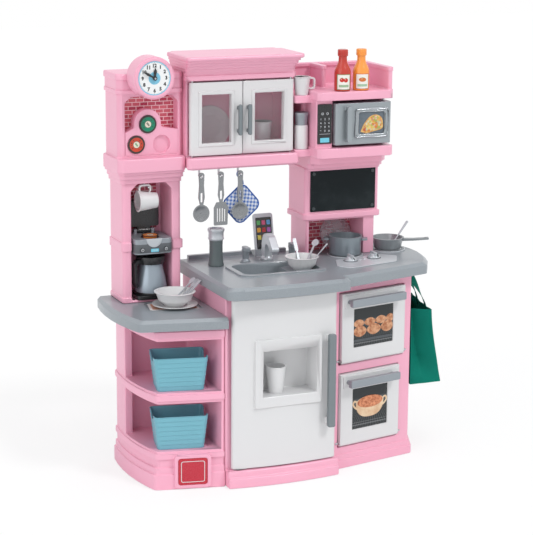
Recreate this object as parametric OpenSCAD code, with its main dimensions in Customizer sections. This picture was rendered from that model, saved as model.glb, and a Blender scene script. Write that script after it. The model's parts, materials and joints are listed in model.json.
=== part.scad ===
// Toy kitchen: a bowed base with open shelves, a refrigerator and two ovens,
// two grey worktops, two towers, a wall cupboard and its play accessories.
// Origin on the floor under the middle of the base, front towards -Y, +Z up.
// Depths below are measured forward from the back plane, so they are negative y.

/* [Base] */
// Distance from the origin back to the back plane
back_y = 200; // [180:5:220]
// Width of the refrigerator cabinet
fridge_w = 348; // [320:2:380]
// Depth of the refrigerator cabinet behind its door
fridge_d = 350; // [330:5:365]
// Angle by which the side wings turn back
wing_angle = 12; // [9:0.5:14]
// Length of the left wing's front
left_wing_w = 193; // [180:1:210]
// Length of the right wing's front
right_wing_w = 258; // [250:1:275]
// Height of the base under the low worktop
left_base_h = 475; // [460:1:490]
// Height of the base under the high worktop
main_base_h = 563; // [550:1:575]
// Height of the moulded plinth
plinth_h = 50; // [46:1:54]
// How far the plinth stands out
plinth_out = 10; // [6:1:14]
// Wall of the moulded cabinets
wall = 8; // [6:0.5:10]
// Height of the lower shelf floor
low_shelf_z = 112; // [104:1:120]
// Top of the middle shelf
mid_shelf_z = 285; // [270:1:295]
// Thickness of the middle shelf
shelf_t = 33; // [24:1:38]

/* [Worktops] */
// Thickness of the low worktop
low_top_t = 32; // [26:1:36]
// Thickness of the high worktop
high_top_t = 35; // [30:1:40]
// Overhang of the low worktop past the curved side
low_overhang = 56; // [48:1:62]
// Bevel round the upper edge of both worktops
bevel = 9; // [5:1:11]
// Depth of the sink basin
sink_d = 44; // [34:1:48]
// Width of the sink basin
sink_w = 240; // [220:2:250]
// Front to back size of the sink basin
sink_l = 132; // [110:2:140]

/* [Doors] */
// Thickness of the refrigerator door
fridge_door_t = 20; // [16:1:22]
// Running gap round doors
door_gap = 3; // [2:0.25:4]
// Thickness of the oven doors
oven_door_t = 20; // [16:1:22]
// Width of the upper oven door
upper_oven_w = 236; // [224:1:238]
// Width of the lower oven door
lower_oven_w = 220; // [208:1:224]
// Height of the upper oven door
upper_oven_h = 213; // [200:1:216]
// Height of the lower oven door
lower_oven_h = 222; // [208:1:224]
// Radius of the hinge pins
pin_r = 3; // [2.5:0.25:3.5]
// Radial clearance of a hinge pin in its bore
pin_fit = 0.06; // [0.03:0.01:0.09]
// Thickness of the cupboard doors
cup_door_t = 18; // [14:1:20]
// Thickness of a bar handle
handle_t = 15; // [12:1:18]

/* [Wall units] */
// Depth of both towers
tower_d = 116; // [108:1:120]
// Width of the left tower's shaft
left_shaft_w = 178; // [170:1:184]
// Height of the lower edge of the wall cupboard
cupboard_z = 899; // [890:1:910]
// Height of the cupboard, without its cornice
cupboard_h = 249; // [240:1:255]
// Width of the cupboard
cupboard_w = 332; // [326:1:338]
// Depth of the cupboard
cupboard_d = 136; // [130:1:140]
// Height of the cornice
cornice_h = 72; // [60:1:80]
// Radius of the clock housing
clock_r = 60; // [54:1:64]

/* [Accessories] */
// Wall of cups, bowls and pans
dish_wall = 2.5; // [2:0.25:3.5]
// Radius of the dinner plates
plate_r = 66; // [60:1:68]
// Radius of the stock pot
pot_r = 49; // [44:1:52]
// Width of a basket at its rim
basket_w = 156; // [140:2:160]
// Height of a basket
basket_h = 98; // [86:1:104]

/* [Hidden] */
$fn = 40;
eps = 0.01;
pink = "#f4a3be";
grey = "#a9aeb4";
white = "#f2f2f0";
black = "#25272a";
steel = "#9a9da1";

// ---------- outline helpers ----------
function unit(v) = v / norm(v);
// Arc about c, from angle a0 to angle a1
function arc(c, r, a0, a1, n = 8) =
    [for (i = [0:n]) c + r * [cos(a0 + (a1 - a0) * i / n), sin(a0 + (a1 - a0) * i / n)]];
// Shallow arc from p to q that bulges by h to the right of its direction
function bow(p, q, h, n = 6) =
    let (half_l = norm(q - p) / 2, r = (half_l * half_l + h * h) / (2 * h),
         dir = unit(q - p), side = [dir[1], -dir[0]], c = (p + q) / 2 + side * (h - r),
         mid = atan2(side[1], side[0]), half = asin(half_l / r))
    arc(c, r, mid - half, mid + half, n);
// Fillet of radius r at corner p between its neighbours a and b
function fillet(a, p, b, r, n = 4) = r <= 0 ? [p] :
    let (u = unit(a - p), v = unit(b - p), half = acos(u * v) / 2,
         c = p + unit(u + v) * r / sin(half), s = p + u * r / tan(half) - c,
         e = p + v * r / tan(half) - c, a0 = atan2(s[1], s[0]), d = atan2(e[1], e[0]) - a0,
         turn = d > 180 ? d - 360 : d < -180 ? d + 360 : d)
    arc(c, r, a0, a0 + turn, n);
// Closed outline whose corners [x, y, r] each have their own fillet
function rounded(p, n = 4) =
    [for (i = [0:len(p) - 1])
        let (a = p[(i + len(p) - 1) % len(p)], b = p[(i + 1) % len(p)])
        each fillet([a[0], a[1]], [p[i][0], p[i][1]], [b[0], b[1]], p[i][2], n)];
// Rectangle from (x0, y0) to (x1, y1) with corner radius r
function rrect(x0, y0, x1, y1, r, n = 4) =
    rounded([[x0, y0, r], [x1, y0, r], [x1, y1, r], [x0, y1, r]], n);

// Upright prism of a plan outline
module prism(outline, z0, z1) translate([0, 0, z0]) linear_extrude(z1 - z0) polygon(outline);
// Plate of an elevation outline (x, z), from y_front to y_back
module plate(outline, y_front, y_back)
    translate([0, y_back, 0]) rotate([90, 0, 0]) linear_extrude(y_back - y_front) polygon(outline);
// Bar of a side profile (y, z), from x0 to x1
module side_bar(profile, x0, x1)
    translate([x0, 0, 0]) rotate([90, 0, 90]) linear_extrude(x1 - x0) polygon(profile);
// Box by its two corners
module box(a, b) translate(a) cube(b - a);
// Round rod from a towards +X, -Y or +Z
module rod_x(a, r, l) translate(a) rotate([0, 90, 0]) cylinder(r = r, h = l);
module rod_front(a, r, l) translate(a) rotate([90, 0, 0]) cylinder(r = r, h = l);
module rod_z(a, r, l) translate(a) cylinder(r = r, h = l);
// Bevelled layer between two similar convex outlines
module bevel_layer(lower, upper, z0, z1) hull() {
    prism(lower, z0, z0 + eps);
    prism(upper, z1 - eps, z1);
}
// Whole object's frame: origin forward of the back plane
module place() translate([0, back_y, 0]) children();

// ---------- shared places ----------
fridge_x0 = -182;
fridge_x1 = fridge_x0 + fridge_w;
low_top_z = left_base_h + low_top_t;
high_top_z = main_base_h + high_top_t;
fridge_axis_y = -fridge_d - fridge_door_t / 2 - 1;
fridge_axis_x = fridge_x0 + 24;
// Wings: their front lines start at these points and turn back
left_wing_p = [fridge_x0 - 1, 5 - fridge_d];
right_wing_p = [fridge_x1 + 27, 20 - fridge_d];
module left_wing() translate([left_wing_p[0], left_wing_p[1], 0]) rotate(-wing_angle) children();
module right_wing() translate([right_wing_p[0], right_wing_p[1], 0]) rotate(wing_angle) children();
function left_wing_at(x, y) = left_wing_p + x * [cos(wing_angle), -sin(wing_angle)]
    + y * [sin(wing_angle), cos(wing_angle)];
function right_wing_at(x, y) = right_wing_p + x * [cos(wing_angle), sin(wing_angle)]
    + y * [-sin(wing_angle), cos(wing_angle)];
base_left_x = -392;
right_side_x = 455;
cupboard_x0 = -220;
cupboard_x1 = cupboard_x0 + cupboard_w;

// ---------- base ----------
function left_plan(o) =
    let (corner = left_wing_at(-left_wing_w - o, -o),
         side = bow([base_left_x - o, 0], corner, 18), n = len(side),
         right_end = [fridge_x0 - 1, left_wing_at(0, -o)[1]])
    concat([for (i = [0:n - 2]) side[i]], fillet(side[n - 2], corner, right_end, 14),
        [right_end, [fridge_x0 - 1, 0]]);
bay_x0 = base_left_x + 14;
bay_x1 = fridge_x0 - 1 - wall;
bay_back = -72;
bay_side_y = -108;
bay_top_z = left_base_h - 39;
bay_plan = rounded([[bay_x0, bay_back, 10], [bay_x1, bay_back, 10], [bay_x1, -600, 0],
    [-600, -600, 0], [-600, bay_side_y, 0], [bay_x0, bay_side_y, 0]]);
badge_z = 53;

module left_base() color(pink) place() difference() {
    union() {
        prism(left_plan(0), plinth_h - 5, left_base_h);
        prism(left_plan(plinth_out), 0, plinth_h - 5);
        prism(left_plan(plinth_out / 2), plinth_h - 5, plinth_h + 14);
        // Rolled lips of both shelf floors and of the band over them
        for (z = [low_shelf_z, mid_shelf_z]) prism(left_plan(5), z - 24, z - 6);
        prism(left_plan(5), bay_top_z + 8, left_base_h - 10);
        // Square boss for a badge
        left_wing() plate(rrect(-146, badge_z - 50, -40, badge_z + 50, 12), -16, 5);
    }
    prism(bay_plan, low_shelf_z, mid_shelf_z - shelf_t);
    prism(bay_plan, mid_shelf_z, bay_top_z);
    left_wing() plate(rrect(-136, badge_z - 40, -50, badge_z + 40, 8), -17, -13);
    // Drain slots in both shelf floors
    for (z = [low_shelf_z, mid_shelf_z], i = [0:4])
        left_wing() box([-182 + 34 * i, 34, z - 2], [-177 + 34 * i, 92, z + 1]);
}

fridge_open = [fridge_x0 + 26, fridge_x1 - 19];
fridge_door_z0 = plinth_h + door_gap;
fridge_door_z1 = main_base_h - 11;
fridge_floor = plinth_h + 12;
module centre_base() color(pink) place() difference() {
    union() {
        box([fridge_x0, -fridge_d, 0], [fridge_x1, 0, main_base_h]);
        prism(concat(bow([fridge_x0, -fridge_d - 34], [fridge_x1, -fridge_d - 34], 14),
            [[fridge_x1, 0], [fridge_x0, 0]]), 0, plinth_h - 20);
        prism(concat(bow([fridge_x0, -fridge_d - 26], [fridge_x1, -fridge_d - 26], 12),
            [[fridge_x1, 0], [fridge_x0, 0]]), plinth_h - 20, plinth_h);
    }
    // Cabinet, open under the worktop for the sink basin
    difference() {
        box([fridge_open[0], 20 - fridge_d, fridge_floor], [fridge_open[1], -20, main_base_h + 1]);
        // Inner shelf on two ribs
        box([fridge_open[0] - 1, 60 - fridge_d, 298], [fridge_open[1] + 1, 0, 306]);
    }
    box([fridge_open[0], -fridge_d - 1, fridge_floor],
        [fridge_open[1], 21 - fridge_d, main_base_h - 18]);
    // Room for the sink basin, and the seat of the lower door pin
    translate([0, 0, high_top_z - sink_d - 4 - door_gap]) linear_extrude(sink_d) sink_outline(8);
    rod_z([fridge_axis_x, fridge_axis_y, plinth_h - 16], pin_r, 20);
}

low_oven_z = plinth_h + 18;
up_oven_z = low_oven_z + 252;
oven_x0 = -8;
function right_plan(o) =
    let (a = [fridge_x1 + 1, right_wing_at(-26, -o)[1]],
         corner = right_wing_at(right_wing_w + o, -o),
         side = bow(corner, [right_side_x + o, 0], 30), n = len(side))
    concat([[fridge_x1 + 1, 0], a], fillet(a, corner, side[1], 14), [for (i = [1:n - 1]) side[i]]);
module oven_hollow(z, w, h) {
    // Pocket that the door closes into
    right_wing() box([oven_x0 - door_gap, -30, z - door_gap],
        [oven_x0 + w + door_gap, oven_door_t / 2 + 1.5, z + h + door_gap]);
    // Oven cavity behind it
    prism([right_wing_at(oven_x0 + 22, 0), right_wing_at(oven_x0 + w - 20, 0),
        [right_wing_at(oven_x0 + w - 20, 0)[0], -60], [right_wing_at(oven_x0 + 22, 0)[0], -60]],
        z + 24, z + h - 18);
    // Pin seats in both jambs
    right_wing() rod_x([oven_x0 - door_gap - 9, 0, z + oven_door_t / 2], pin_r, w + 2 * door_gap + 18);
}
module right_base() color(pink) place() difference() {
    union() {
        prism(right_plan(0), 0, main_base_h);
        prism(right_plan(8), 0, 26);
        prism(right_plan(4), 26, plinth_h - 8);
    }
    oven_hollow(low_oven_z, lower_oven_w, lower_oven_h);
    oven_hollow(up_oven_z, upper_oven_w, upper_oven_h);
    bag_frame() rod_x([-30, bag_l / 2, bag_hook_z], bag_hook_r, 40);
}

// ---------- worktops ----------
function low_top_plan(o) =
    let (corner = left_wing_at(-left_wing_w - 54 + o, -36 + o),
         side = bow([base_left_x - low_overhang + o, 0], corner, 20), n = len(side),
         end = [fridge_x0 - 2, left_wing_at(0, -36 + o)[1]])
    concat([for (i = [0:n - 2]) side[i]], fillet(side[n - 2], corner, end, 18),
        [end, [fridge_x0 - 2, 0]]);
// Corners of the place mat, in the left wing's frame
mat_corners = [[-198, 96], [-54, 96], [-68, 176], [-198, 176]];
mat_rim = 9;
function mat_outline(o, r) = let (m = mat_corners)
    rounded([[m[0][0] - o, m[0][1] - o, r], [m[1][0] + o, m[1][1] - o, r],
        [m[2][0] + o, m[2][1] + o / 2, r], [m[3][0] - o, m[3][1] + o / 2, r]]);
module left_counter() color(grey) place() difference() {
    union() {
        prism(low_top_plan(0), left_base_h, low_top_z - bevel);
        bevel_layer(low_top_plan(0), low_top_plan(bevel), low_top_z - bevel, low_top_z);
    }
    // Shallow pocket of the place mat
    left_wing() prism(mat_outline(mat_rim, 12), low_top_z - 3, low_top_z + 1);
}

high_left_x = -197;
high_mid_x = fridge_x1 + 16;
function high_left_plan(o) = let (y = -fridge_d - 64 + o)
    concat([[high_left_x + o, 0]], fillet([high_left_x + o, 0], [high_left_x + o, y], [0, y - 10], 22),
        bow([-150, y - 6], [high_mid_x - 30 - o, y - 4], 6),
        fillet([0, y - 4], [high_mid_x - o, y], [high_mid_x - o, 0], 12), [[high_mid_x - o, 0]]);
function high_right_plan(o) =
    let (a = right_wing_at(-12, -47 + o), corner = right_wing_at(right_wing_w + 31 - o, -33 + o),
         side = bow(corner, [right_side_x + 50 - o, 0], 42), n = len(side))
    concat([[fridge_x1 - 10, 0], [fridge_x1 - 10, a[1]], a], fillet(a, corner, side[1], 14),
        [for (i = [1:n - 1]) side[i]]);
sink_c = [28, -218];
sink_rim = 8;
tray_d = 12;
tray_x = sink_c[0] + 40;
tap_pos = [[-22, -108], [128, -108]];
faucet_pos = [50, -100];
phone_pos = [72, -34];
phone_lean = 12;
module sink_outline(grow) {
    c = sink_c;
    polygon(rrect(c[0] - sink_w / 2 - grow, c[1] - sink_l / 2 - grow,
        c[0] + sink_w / 2 + grow, c[1] + sink_l / 2 + grow, 24 + grow / 2));
}
module main_counter() color(grey) place() difference() {
    union() {
        prism(high_left_plan(0), main_base_h, high_top_z - bevel);
        bevel_layer(high_left_plan(0), high_left_plan(bevel), high_top_z - bevel, high_top_z);
        prism(high_right_plan(0), main_base_h, high_top_z - bevel);
        bevel_layer(high_right_plan(0), high_right_plan(bevel), high_top_z - bevel, high_top_z);
        // Sink basin under the worktop and its raised rim
        translate([0, 0, high_top_z - sink_d - 4]) linear_extrude(sink_d) sink_outline(5);
        translate([0, 0, high_top_z - 1]) linear_extrude(6) sink_outline(sink_rim + 8);
        // Bosses of the faucet and both taps
        rod_z([faucet_pos[0], faucet_pos[1], high_top_z - 1], 21, 4);
        for (p = tap_pos) rod_z([p[0], p[1], high_top_z - 1], 17, 4);
        // Raised back edge and the telephone stand
        box([high_left_x + 30, -14, high_top_z - 1], [150, 0, high_top_z + 12]);
        phone_frame() box([-38, -14, -12], [38, 14, 14]);
    }
    // Deep basin on the left, draining tray on the right
    translate([0, 0, high_top_z - tray_d]) linear_extrude(tray_d + 6) sink_outline(0);
    translate([0, 0, high_top_z - sink_d]) linear_extrude(sink_d) intersection() {
        sink_outline(0);
        polygon(rrect(-300, -400, tray_x, 0, 10));
    }
    rod_z([sink_c[0] - 40, sink_c[1], high_top_z - sink_d - 2], 16, 4);
    phone_frame() box([-phone_w / 2 - 0.5, -phone_t / 2 - 0.5, 0], [phone_w / 2 + 0.5, phone_t / 2 + 0.5, 60]);
    // Seats: faucet spindle, tap spindles, hob knob spindles and the upper door pin
    rod_z([faucet_pos[0], faucet_pos[1], high_top_z - 14], spindle_r + pin_fit, 30);
    for (p = tap_pos) rod_z([p[0], p[1], high_top_z - 14], spindle_r + pin_fit, 30);
    for (p = knob_pos) rod_z([p[0], p[1], high_top_z - 14], spindle_r + pin_fit, 30);
    rod_z([fridge_axis_x, fridge_axis_y, main_base_h - 1], pin_r, 14);
}
phone_w = 62;
phone_h = 122;
phone_t = 11;
module phone_frame() translate([phone_pos[0], phone_pos[1], high_top_z + 4]) rotate([-phone_lean, 0, 0]) children();
spindle_r = 5;
knob_pos = [[272, -214], [356, -200]];
pot_pos = [299, -119];
pan_pos = [456, -92];
hob_plan = rounded([[206, -262, 14], [236, -300, 12], [400, -264, 16], [436, -196, 12],
    [398, -160, 0], [236, -186, 0]]);
module hob_panel() color("#8f949a") place() difference() {
    union() {
        prism(hob_plan, high_top_z, high_top_z + 3);
        for (p = [pot_pos, pan_pos]) rod_z([p[0], p[1], high_top_z], 54, 3);
        // Two push-button studs between the knobs
        for (s = [-9, 9]) rod_z([314 + s, -207 + s / 6, high_top_z + 2], 5, 3);
    }
    for (p = [pot_pos, pan_pos], r = [28, 42]) difference() {
        rod_z([p[0], p[1], high_top_z + 2], r, 2);
        rod_z([p[0], p[1], high_top_z + 1], r - 5, 4);
    }
    for (p = knob_pos) rod_z([p[0], p[1], high_top_z - 1], spindle_r + 1.5, 8);
}

// ---------- left tower ----------
lt_x1 = cupboard_x0 - 8;
lt_x0 = lt_x1 - left_shaft_w;
lt_up_x0 = lt_x0 - 11;
lt_up_x1 = lt_x1 + 8;
lt_ledge_z = cupboard_z + 34;
lt_cap_z = lt_ledge_z + 182;
lt_top_z = lt_cap_z + 58;
lt_ring_z = low_top_z + 153;
nook_x = [lt_x0 + 27, lt_x1 - 29];
nook_floor = low_top_z + 8;
nook_top = lt_ledge_z - 77;
upper_recess_y = -84;
// Plan of a tower stage with chamfered front corners
function stage(x0, x1, d, c) = [[x0, 0], [x0, c - d], [x0 + c, -d], [x1 - c, -d], [x1, c - d], [x1, 0]];
module left_tower() color(pink) place() difference() {
    union() {
        prism(stage(lt_x0, lt_x1, tower_d, 6), low_top_z, lt_ledge_z);
        prism(stage(lt_x0 - 3, lt_x1 + 3, tower_d + 3, 6), low_top_z, low_top_z + 16);
        prism(stage(lt_x0 - 4, lt_x1 + 6, tower_d + 4, 6), lt_ring_z, lt_ring_z + 26);
        // Cove and ledge
        prism(stage(lt_x0 - 5, lt_x1 + 2, tower_d + 8, 8), lt_ledge_z - 76, lt_ledge_z - 62);
        prism(stage(lt_x0 - 10, lt_x1 + 5, tower_d + 18, 10), lt_ledge_z - 62, lt_ledge_z - 48);
        prism(stage(lt_x0 - 16, lt_x1 + 7, tower_d + 26, 12), lt_ledge_z - 48, lt_ledge_z - 40);
        prism(stage(lt_x0 - 20, lt_up_x1, tower_d + 32, 14), lt_ledge_z - 40, lt_ledge_z);
        // Upper stage and its cap
        prism(stage(lt_up_x0, lt_up_x1, tower_d + 2, 12), lt_ledge_z, lt_cap_z);
        prism(stage(lt_up_x0 - 5, lt_up_x1, tower_d + 10, 14), lt_cap_z, lt_cap_z + 12);
        prism(stage(lt_up_x0 - 2, lt_up_x1, tower_d + 6, 14), lt_cap_z + 12, lt_top_z - 18);
        prism(stage(lt_up_x0 - 6, lt_up_x1, tower_d + 10, 14), lt_top_z - 18, lt_top_z);
    }
    // Coffee nook with cut upper corners
    plate([[nook_x[0], nook_floor], [nook_x[1], nook_floor], [nook_x[1], nook_top - 18],
        [nook_x[1] - 18, nook_top], [nook_x[0] + 18, nook_top], [nook_x[0], nook_top - 18]], -300, -20);
    // Recess of the pod holder
    plate(recess_outline(0), -300, upper_recess_y);
}
function recess_outline(o) = [[lt_up_x0 + 21 - o, lt_ledge_z + 5 - o], [lt_up_x1 - 18 + o, lt_ledge_z + 5 - o],
    [lt_up_x1 - 18 + o, lt_cap_z - 26 + o], [lt_up_x1 - 34 + o, lt_cap_z - 9 + o],
    [lt_up_x0 + 37 - o, lt_cap_z - 9 + o], [lt_up_x0 + 21 - o, lt_cap_z - 26 + o]];

// ---------- clock ----------
clock_c = [(lt_up_x0 + lt_up_x1) / 2 - 15.5, lt_cap_z + 51];
clock_back = -tower_d - 10;
clock_face_y = clock_back - 66;
dial_r = clock_r - 12;
module clock_housing() color(pink) place() difference() {
    union() {
        rod_front([clock_c[0], clock_back, clock_c[1]], clock_r, clock_back - clock_face_y);
        rod_front([clock_c[0], clock_face_y + 1, clock_c[1]], clock_r - 4, 4);
    }
    rod_front([clock_c[0], clock_face_y + 2, clock_c[1]], dial_r, 10);
    rod_front([clock_c[0], clock_face_y + 14, clock_c[1]], clock_pin_r, 20);
}
clock_pin_r = 2.5;
module clock_face() color("#f6f6f2") place() difference() {
    rod_front([clock_c[0], clock_face_y + 2, clock_c[1]], dial_r, 3);
    rod_front([clock_c[0], clock_face_y + 4, clock_c[1]], clock_pin_r, 10);
}
// Clock hand with a ring round the spindle; turn is clockwise from twelve
module clock_hand(y, l, w, turn)
    translate([clock_c[0], y, clock_c[1]]) rotate([0, turn, 0]) difference() {
        plate(concat(arc([0, 0], 6, 150, 390, 10), [[w / 2, 9], [w, l * 0.62], [0, l], [-w, l * 0.62],
            [-w / 2, 9]]), -1.6, 0);
        rod_front([0, 1, 0], clock_pin_r + pin_fit, 4);
    }
module hour_hand() color(black) place() clock_hand(clock_face_y - 3.4, 30, 5, 4);
module minute_hand() color(black) place() clock_hand(clock_face_y - 5.8, 40, 4, -60);

// ---------- pod holder ----------
pod_r = 25.5;
pod_t = 13;
holder_y = upper_recess_y - 34;
// Seats across the recess, upper one first
pod_seats = [[lt_up_x0 + 88, lt_ledge_z + 94], [lt_up_x0 + 53, lt_ledge_z + 37], [lt_up_x0 + 130, lt_ledge_z + 35]];
module pod_holder() color(pink) place() difference() {
    x0 = lt_up_x0 + 21;
    x1 = lt_up_x1 - 18;
    z0 = lt_ledge_z + 5;
    c = pod_seats[0];
    shoulder = c[1] - 10;
    hump_r = 40;
    // Round hump over the upper seat, with a hollow curve down to each shoulder
    plate(concat([[x0, z0], [x1, z0], [x1, shoulder - 8]],
        fillet([x1, shoulder - 8], [c[0] + hump_r, shoulder], [c[0] + hump_r, shoulder + 60], 10),
        arc(c + [0, 3], hump_r, 0, 180, 16),
        fillet([c[0] - hump_r, shoulder + 60], [c[0] - hump_r, shoulder], [x0, shoulder - 12], 9),
        [[x0, shoulder - 12]]), holder_y, upper_recess_y - brick_t);
    for (p = pod_seats) rod_front([p[0], holder_y + 9, p[1]], pod_r + 0.5, 20);
}
module pod() rod_front([0, 0, 0], pod_r, pod_t);
module coffee_pods() color("#2f6b4f") place() {
    for (i = [0:1]) translate([pod_seats[i][0], holder_y + 9, pod_seats[i][1]]) pod();
    translate([coffee_x, pod_y, head_z - 7]) rotate([-90, 0, 0]) pod();
}

// ---------- coffee maker ----------
coffee_x = (nook_x[0] + nook_x[1]) / 2;
coffee_w = 114;
coffee_front = -tower_d - 20;
coffee_back = -22;
head_z = nook_floor + 181;
head_h = 44;
pod_y = -100;
lid_axis = [-42, head_z + 8];
lid_w = 92;
button_r = 6.5;
button_dx = 36;
button_z = head_z - head_h + 14;
module coffee_maker() color(steel) place() difference() {
    union() {
        // Foot, back column and head
        prism(rrect(coffee_x - 48, carafe_y - 42, coffee_x + 48, coffee_back, 16), nook_floor, nook_floor + 12);
        prism(rrect(coffee_x - coffee_w / 2 + 8, coffee_back - 14, coffee_x + coffee_w / 2 - 8, coffee_back, 6),
            nook_floor + 11, head_z - head_h + 1);
        prism(rrect(coffee_x - coffee_w / 2, coffee_front, coffee_x + coffee_w / 2, coffee_back, 14),
            head_z - head_h, head_z);
        // Hinge lugs of the lid
        for (s = [-1, 1]) translate([coffee_x + s * 27, 0, 0]) {
            box([-5, lid_axis[0] - 7, head_z - 1], [5, lid_axis[0] + 7, lid_axis[1]]);
            rod_x([-5, lid_axis[0], lid_axis[1]], 7, 10);
        }
        box([coffee_x - 32, lid_axis[0] - 7, head_z - 1], [coffee_x + 32, lid_axis[0] + 7, head_z]);
    }
    // Pod cup, warming plate and button seats
    rod_z([coffee_x, pod_y, head_z - 7], pod_r + 0.5, 10);
    rod_z([coffee_x + 6, carafe_y, nook_floor + 11], 39.2, 4);
    for (s = [-1, 1]) rod_front([coffee_x + s * button_dx, coffee_front + 9, button_z], button_r + 0.4, 12);
    rod_x([coffee_x - 40, lid_axis[0], lid_axis[1]], pin_r, 80);
}
module coffee_lid() color(black) place() difference() {
    union() {
        plate(rounded([[coffee_x - lid_w / 2, lid_axis[1] + 12, 6], [coffee_x + lid_w / 2, lid_axis[1] + 12, 6],
            [coffee_x + lid_w / 2, lid_axis[1] + 98, 26], [coffee_x - lid_w / 2, lid_axis[1] + 98, 26]]),
            lid_axis[0] - 4, lid_axis[0] + 4);
        box([coffee_x - 20.5, lid_axis[0] - 4, lid_axis[1]], [coffee_x + 20.5, lid_axis[0] + 4, lid_axis[1] + 14]);
        rod_x([coffee_x - 20.5, lid_axis[0], lid_axis[1]], 7, 41);
    }
    rod_x([coffee_x - 30, lid_axis[0], lid_axis[1]], pin_r + pin_fit, 60);
}
module coffee_button(s) color("#c9ccd0") place() {
    rod_front([coffee_x + s * button_dx, coffee_front + 6, button_z], button_r, 9);
}
module left_coffee_button() coffee_button(-1);
module right_coffee_button() coffee_button(1);
carafe_y = -85;
carafe_z = nook_floor + 11;
module carafe() color(steel) place() translate([coffee_x + 6, carafe_y, carafe_z]) rotate_extrude() difference() {
    polygon([[0, 0], [38, 0], [40, 3], [48, 30], [48, 52], [42, 74], [34, 96], [0, 96]]);
    polygon([[0, dish_wall], [37, dish_wall], [45, 30], [45, 52], [39.5, 73], [31.5, 97], [0, 97]]);
}
module carafe_handle() color(black) place() translate([coffee_x + 6, carafe_y, carafe_z]) {
    difference() {
        union() {
            rotate_extrude() polygon([[34.3, 96.3], [40, 90], [43, 104], [42, 112], [16, 116], [0, 117],
                [0, 113], [15, 112], [31.6, 108], [31.6, 96.3]]);
            // Handle on the left, down to the body's foot
            rotate([0, 0, 24]) plate([[-36, 104], [-58, 106], [-68, 96], [-67, 40], [-60, 24], [-53, 27],
                [-58, 42], [-59, 88], [-53, 95], [-36, 94]], -8, 8);
        }
        translate([0, 0, 95]) cylinder(r = 31.5, h = 12);
    }
}

// ---------- right tower ----------
rt_x0 = cupboard_x1 + 51;
rt_x1 = rt_x0 + 240;
rt_band_z = high_top_z + 115;
rt_shelf_z = cupboard_z + 13;
rt_shelf_t = 29;
rt_shelf_d = 218;
mw_z0 = rt_shelf_z + rt_shelf_t;
mw_z1 = mw_z0 + 140;
rt_top_z = mw_z1 + 25;
gallery_z = rt_top_z + 66;
side_shelf_d = 160;
mw_face_d = rt_shelf_d - 27;
pot_nook_x = [rt_x0 + 17, rt_x1 - 43];
mw_open_x = [rt_x0 + 66, rt_x1 - 12];
module right_tower() color(pink) place() difference() {
    union() {
        prism(stage(rt_x0 + 8, rt_x1 - 5, tower_d, 5), high_top_z, rt_shelf_z);
        prism(stage(rt_x0 - 5, rt_x1 + 11, tower_d + 8, 8), rt_band_z, rt_band_z + 17);
        prism(stage(rt_x0, rt_x1 + 5, tower_d + 2, 5), rt_band_z + 16, rt_shelf_z - 50);
        // Corbel and lower shelf
        prism(stage(rt_x0 - 3, rt_x1 + 6, tower_d + 14, 10), rt_shelf_z - 50, rt_shelf_z - 40);
        prism(stage(rt_x0, rt_x1 + 6, tower_d + 34, 16), rt_shelf_z - 40, rt_shelf_z - 24);
        prism(stage(rt_x0, rt_x1 + 6, tower_d + 60, 22), rt_shelf_z - 24, rt_shelf_z);
        prism(stage(rt_x0 - 2, rt_x1 + 4, rt_shelf_d, 12), rt_shelf_z, mw_z0);
        box([cupboard_x1, -side_shelf_d, rt_shelf_z], [rt_x0 + 10, 0, mw_z0 - 7]);
        // Microwave bay: back panel, the post of the key panel and the right wall
        box([cupboard_x1, -14, mw_z0 - 8], [rt_x1, 0, mw_z1]);
        prism(stage(rt_x0 - 12, rt_x0 + 66, tower_d, 6), mw_z0 - 1, mw_z1);
        prism(stage(rt_x0 + 1, rt_x0 + 54, mw_face_d, 2), mw_z0 - 1, mw_z1);
        prism(stage(rt_x1 - 12, rt_x1 + 6, mw_face_d - 41, 6), mw_z0 - 1, mw_z1);
        // Upper shelf
        prism(stage(rt_x0 - 2, rt_x1 + 4, rt_shelf_d - 4, 12), mw_z1, rt_top_z);
        box([cupboard_x1, -side_shelf_d, mw_z1 - 10], [rt_x0 + 10, 0, rt_top_z - 13]);
        // Gallery round the upper shelf
        box([cupboard_x1, -14, rt_top_z - 14], [rt_x1, 0, gallery_z - 10]);
        box([cupboard_x1, -19, gallery_z - 12], [rt_x1, 0, gallery_z]);
        side_wall(rt_x0 + 60, 96);
        side_wall(rt_x1 - 10, 196);
    }
    box([pot_nook_x[0], -300, high_top_z - 1], [pot_nook_x[1], -20, rt_band_z - 5]);
    box([mw_open_x[0], -300, mw_z0 + 4], [mw_open_x[1], -22, mw_z1 - 4]);
    // Seats of the microwave door pins
    rod_z([mw_axis[0], mw_axis[1], mw_z0 - 12], pin_r, mw_z1 - mw_z0 + 24);
}
// Low wall of the gallery with a round front post and a bead
module side_wall(x, d) {
    box([x, -d, rt_top_z - 1], [x + 12, 0, gallery_z - 10]);
    box([x - 3, -d, gallery_z - 12], [x + 15, 0, gallery_z]);
    rod_z([x + 6, -d, rt_top_z - 1], 7, gallery_z - rt_top_z - 9);
    rod_z([x + 6, -d, gallery_z - 12], 9, 12);
}
board_x = [rt_x0 + 18, rt_x1 - 8];
board_z = [rt_band_z + 24, rt_shelf_z - 50];
module chalkboard() color(black) place() difference() {
    plate(rrect(board_x[0], board_z[0], board_x[1], board_z[1], 3), -tower_d - 6, -tower_d - 2);
    for (x = [board_x[0] + 10, board_x[1] - 10], z = [board_z[0] + 10, board_z[1] - 10])
        rod_front([x, -tower_d, z], 3, 10);
}
mw_panel_x = [rt_x0 + 5, rt_x0 + 51];
module microwave_panel() color(black) place()
    plate(rrect(mw_panel_x[0], mw_z0 + 12, mw_panel_x[1], mw_z1 - 11, 3), -mw_face_d - 3, -mw_face_d);
mw_door_x = [rt_x0 + 57, rt_x1 - 1];
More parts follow.
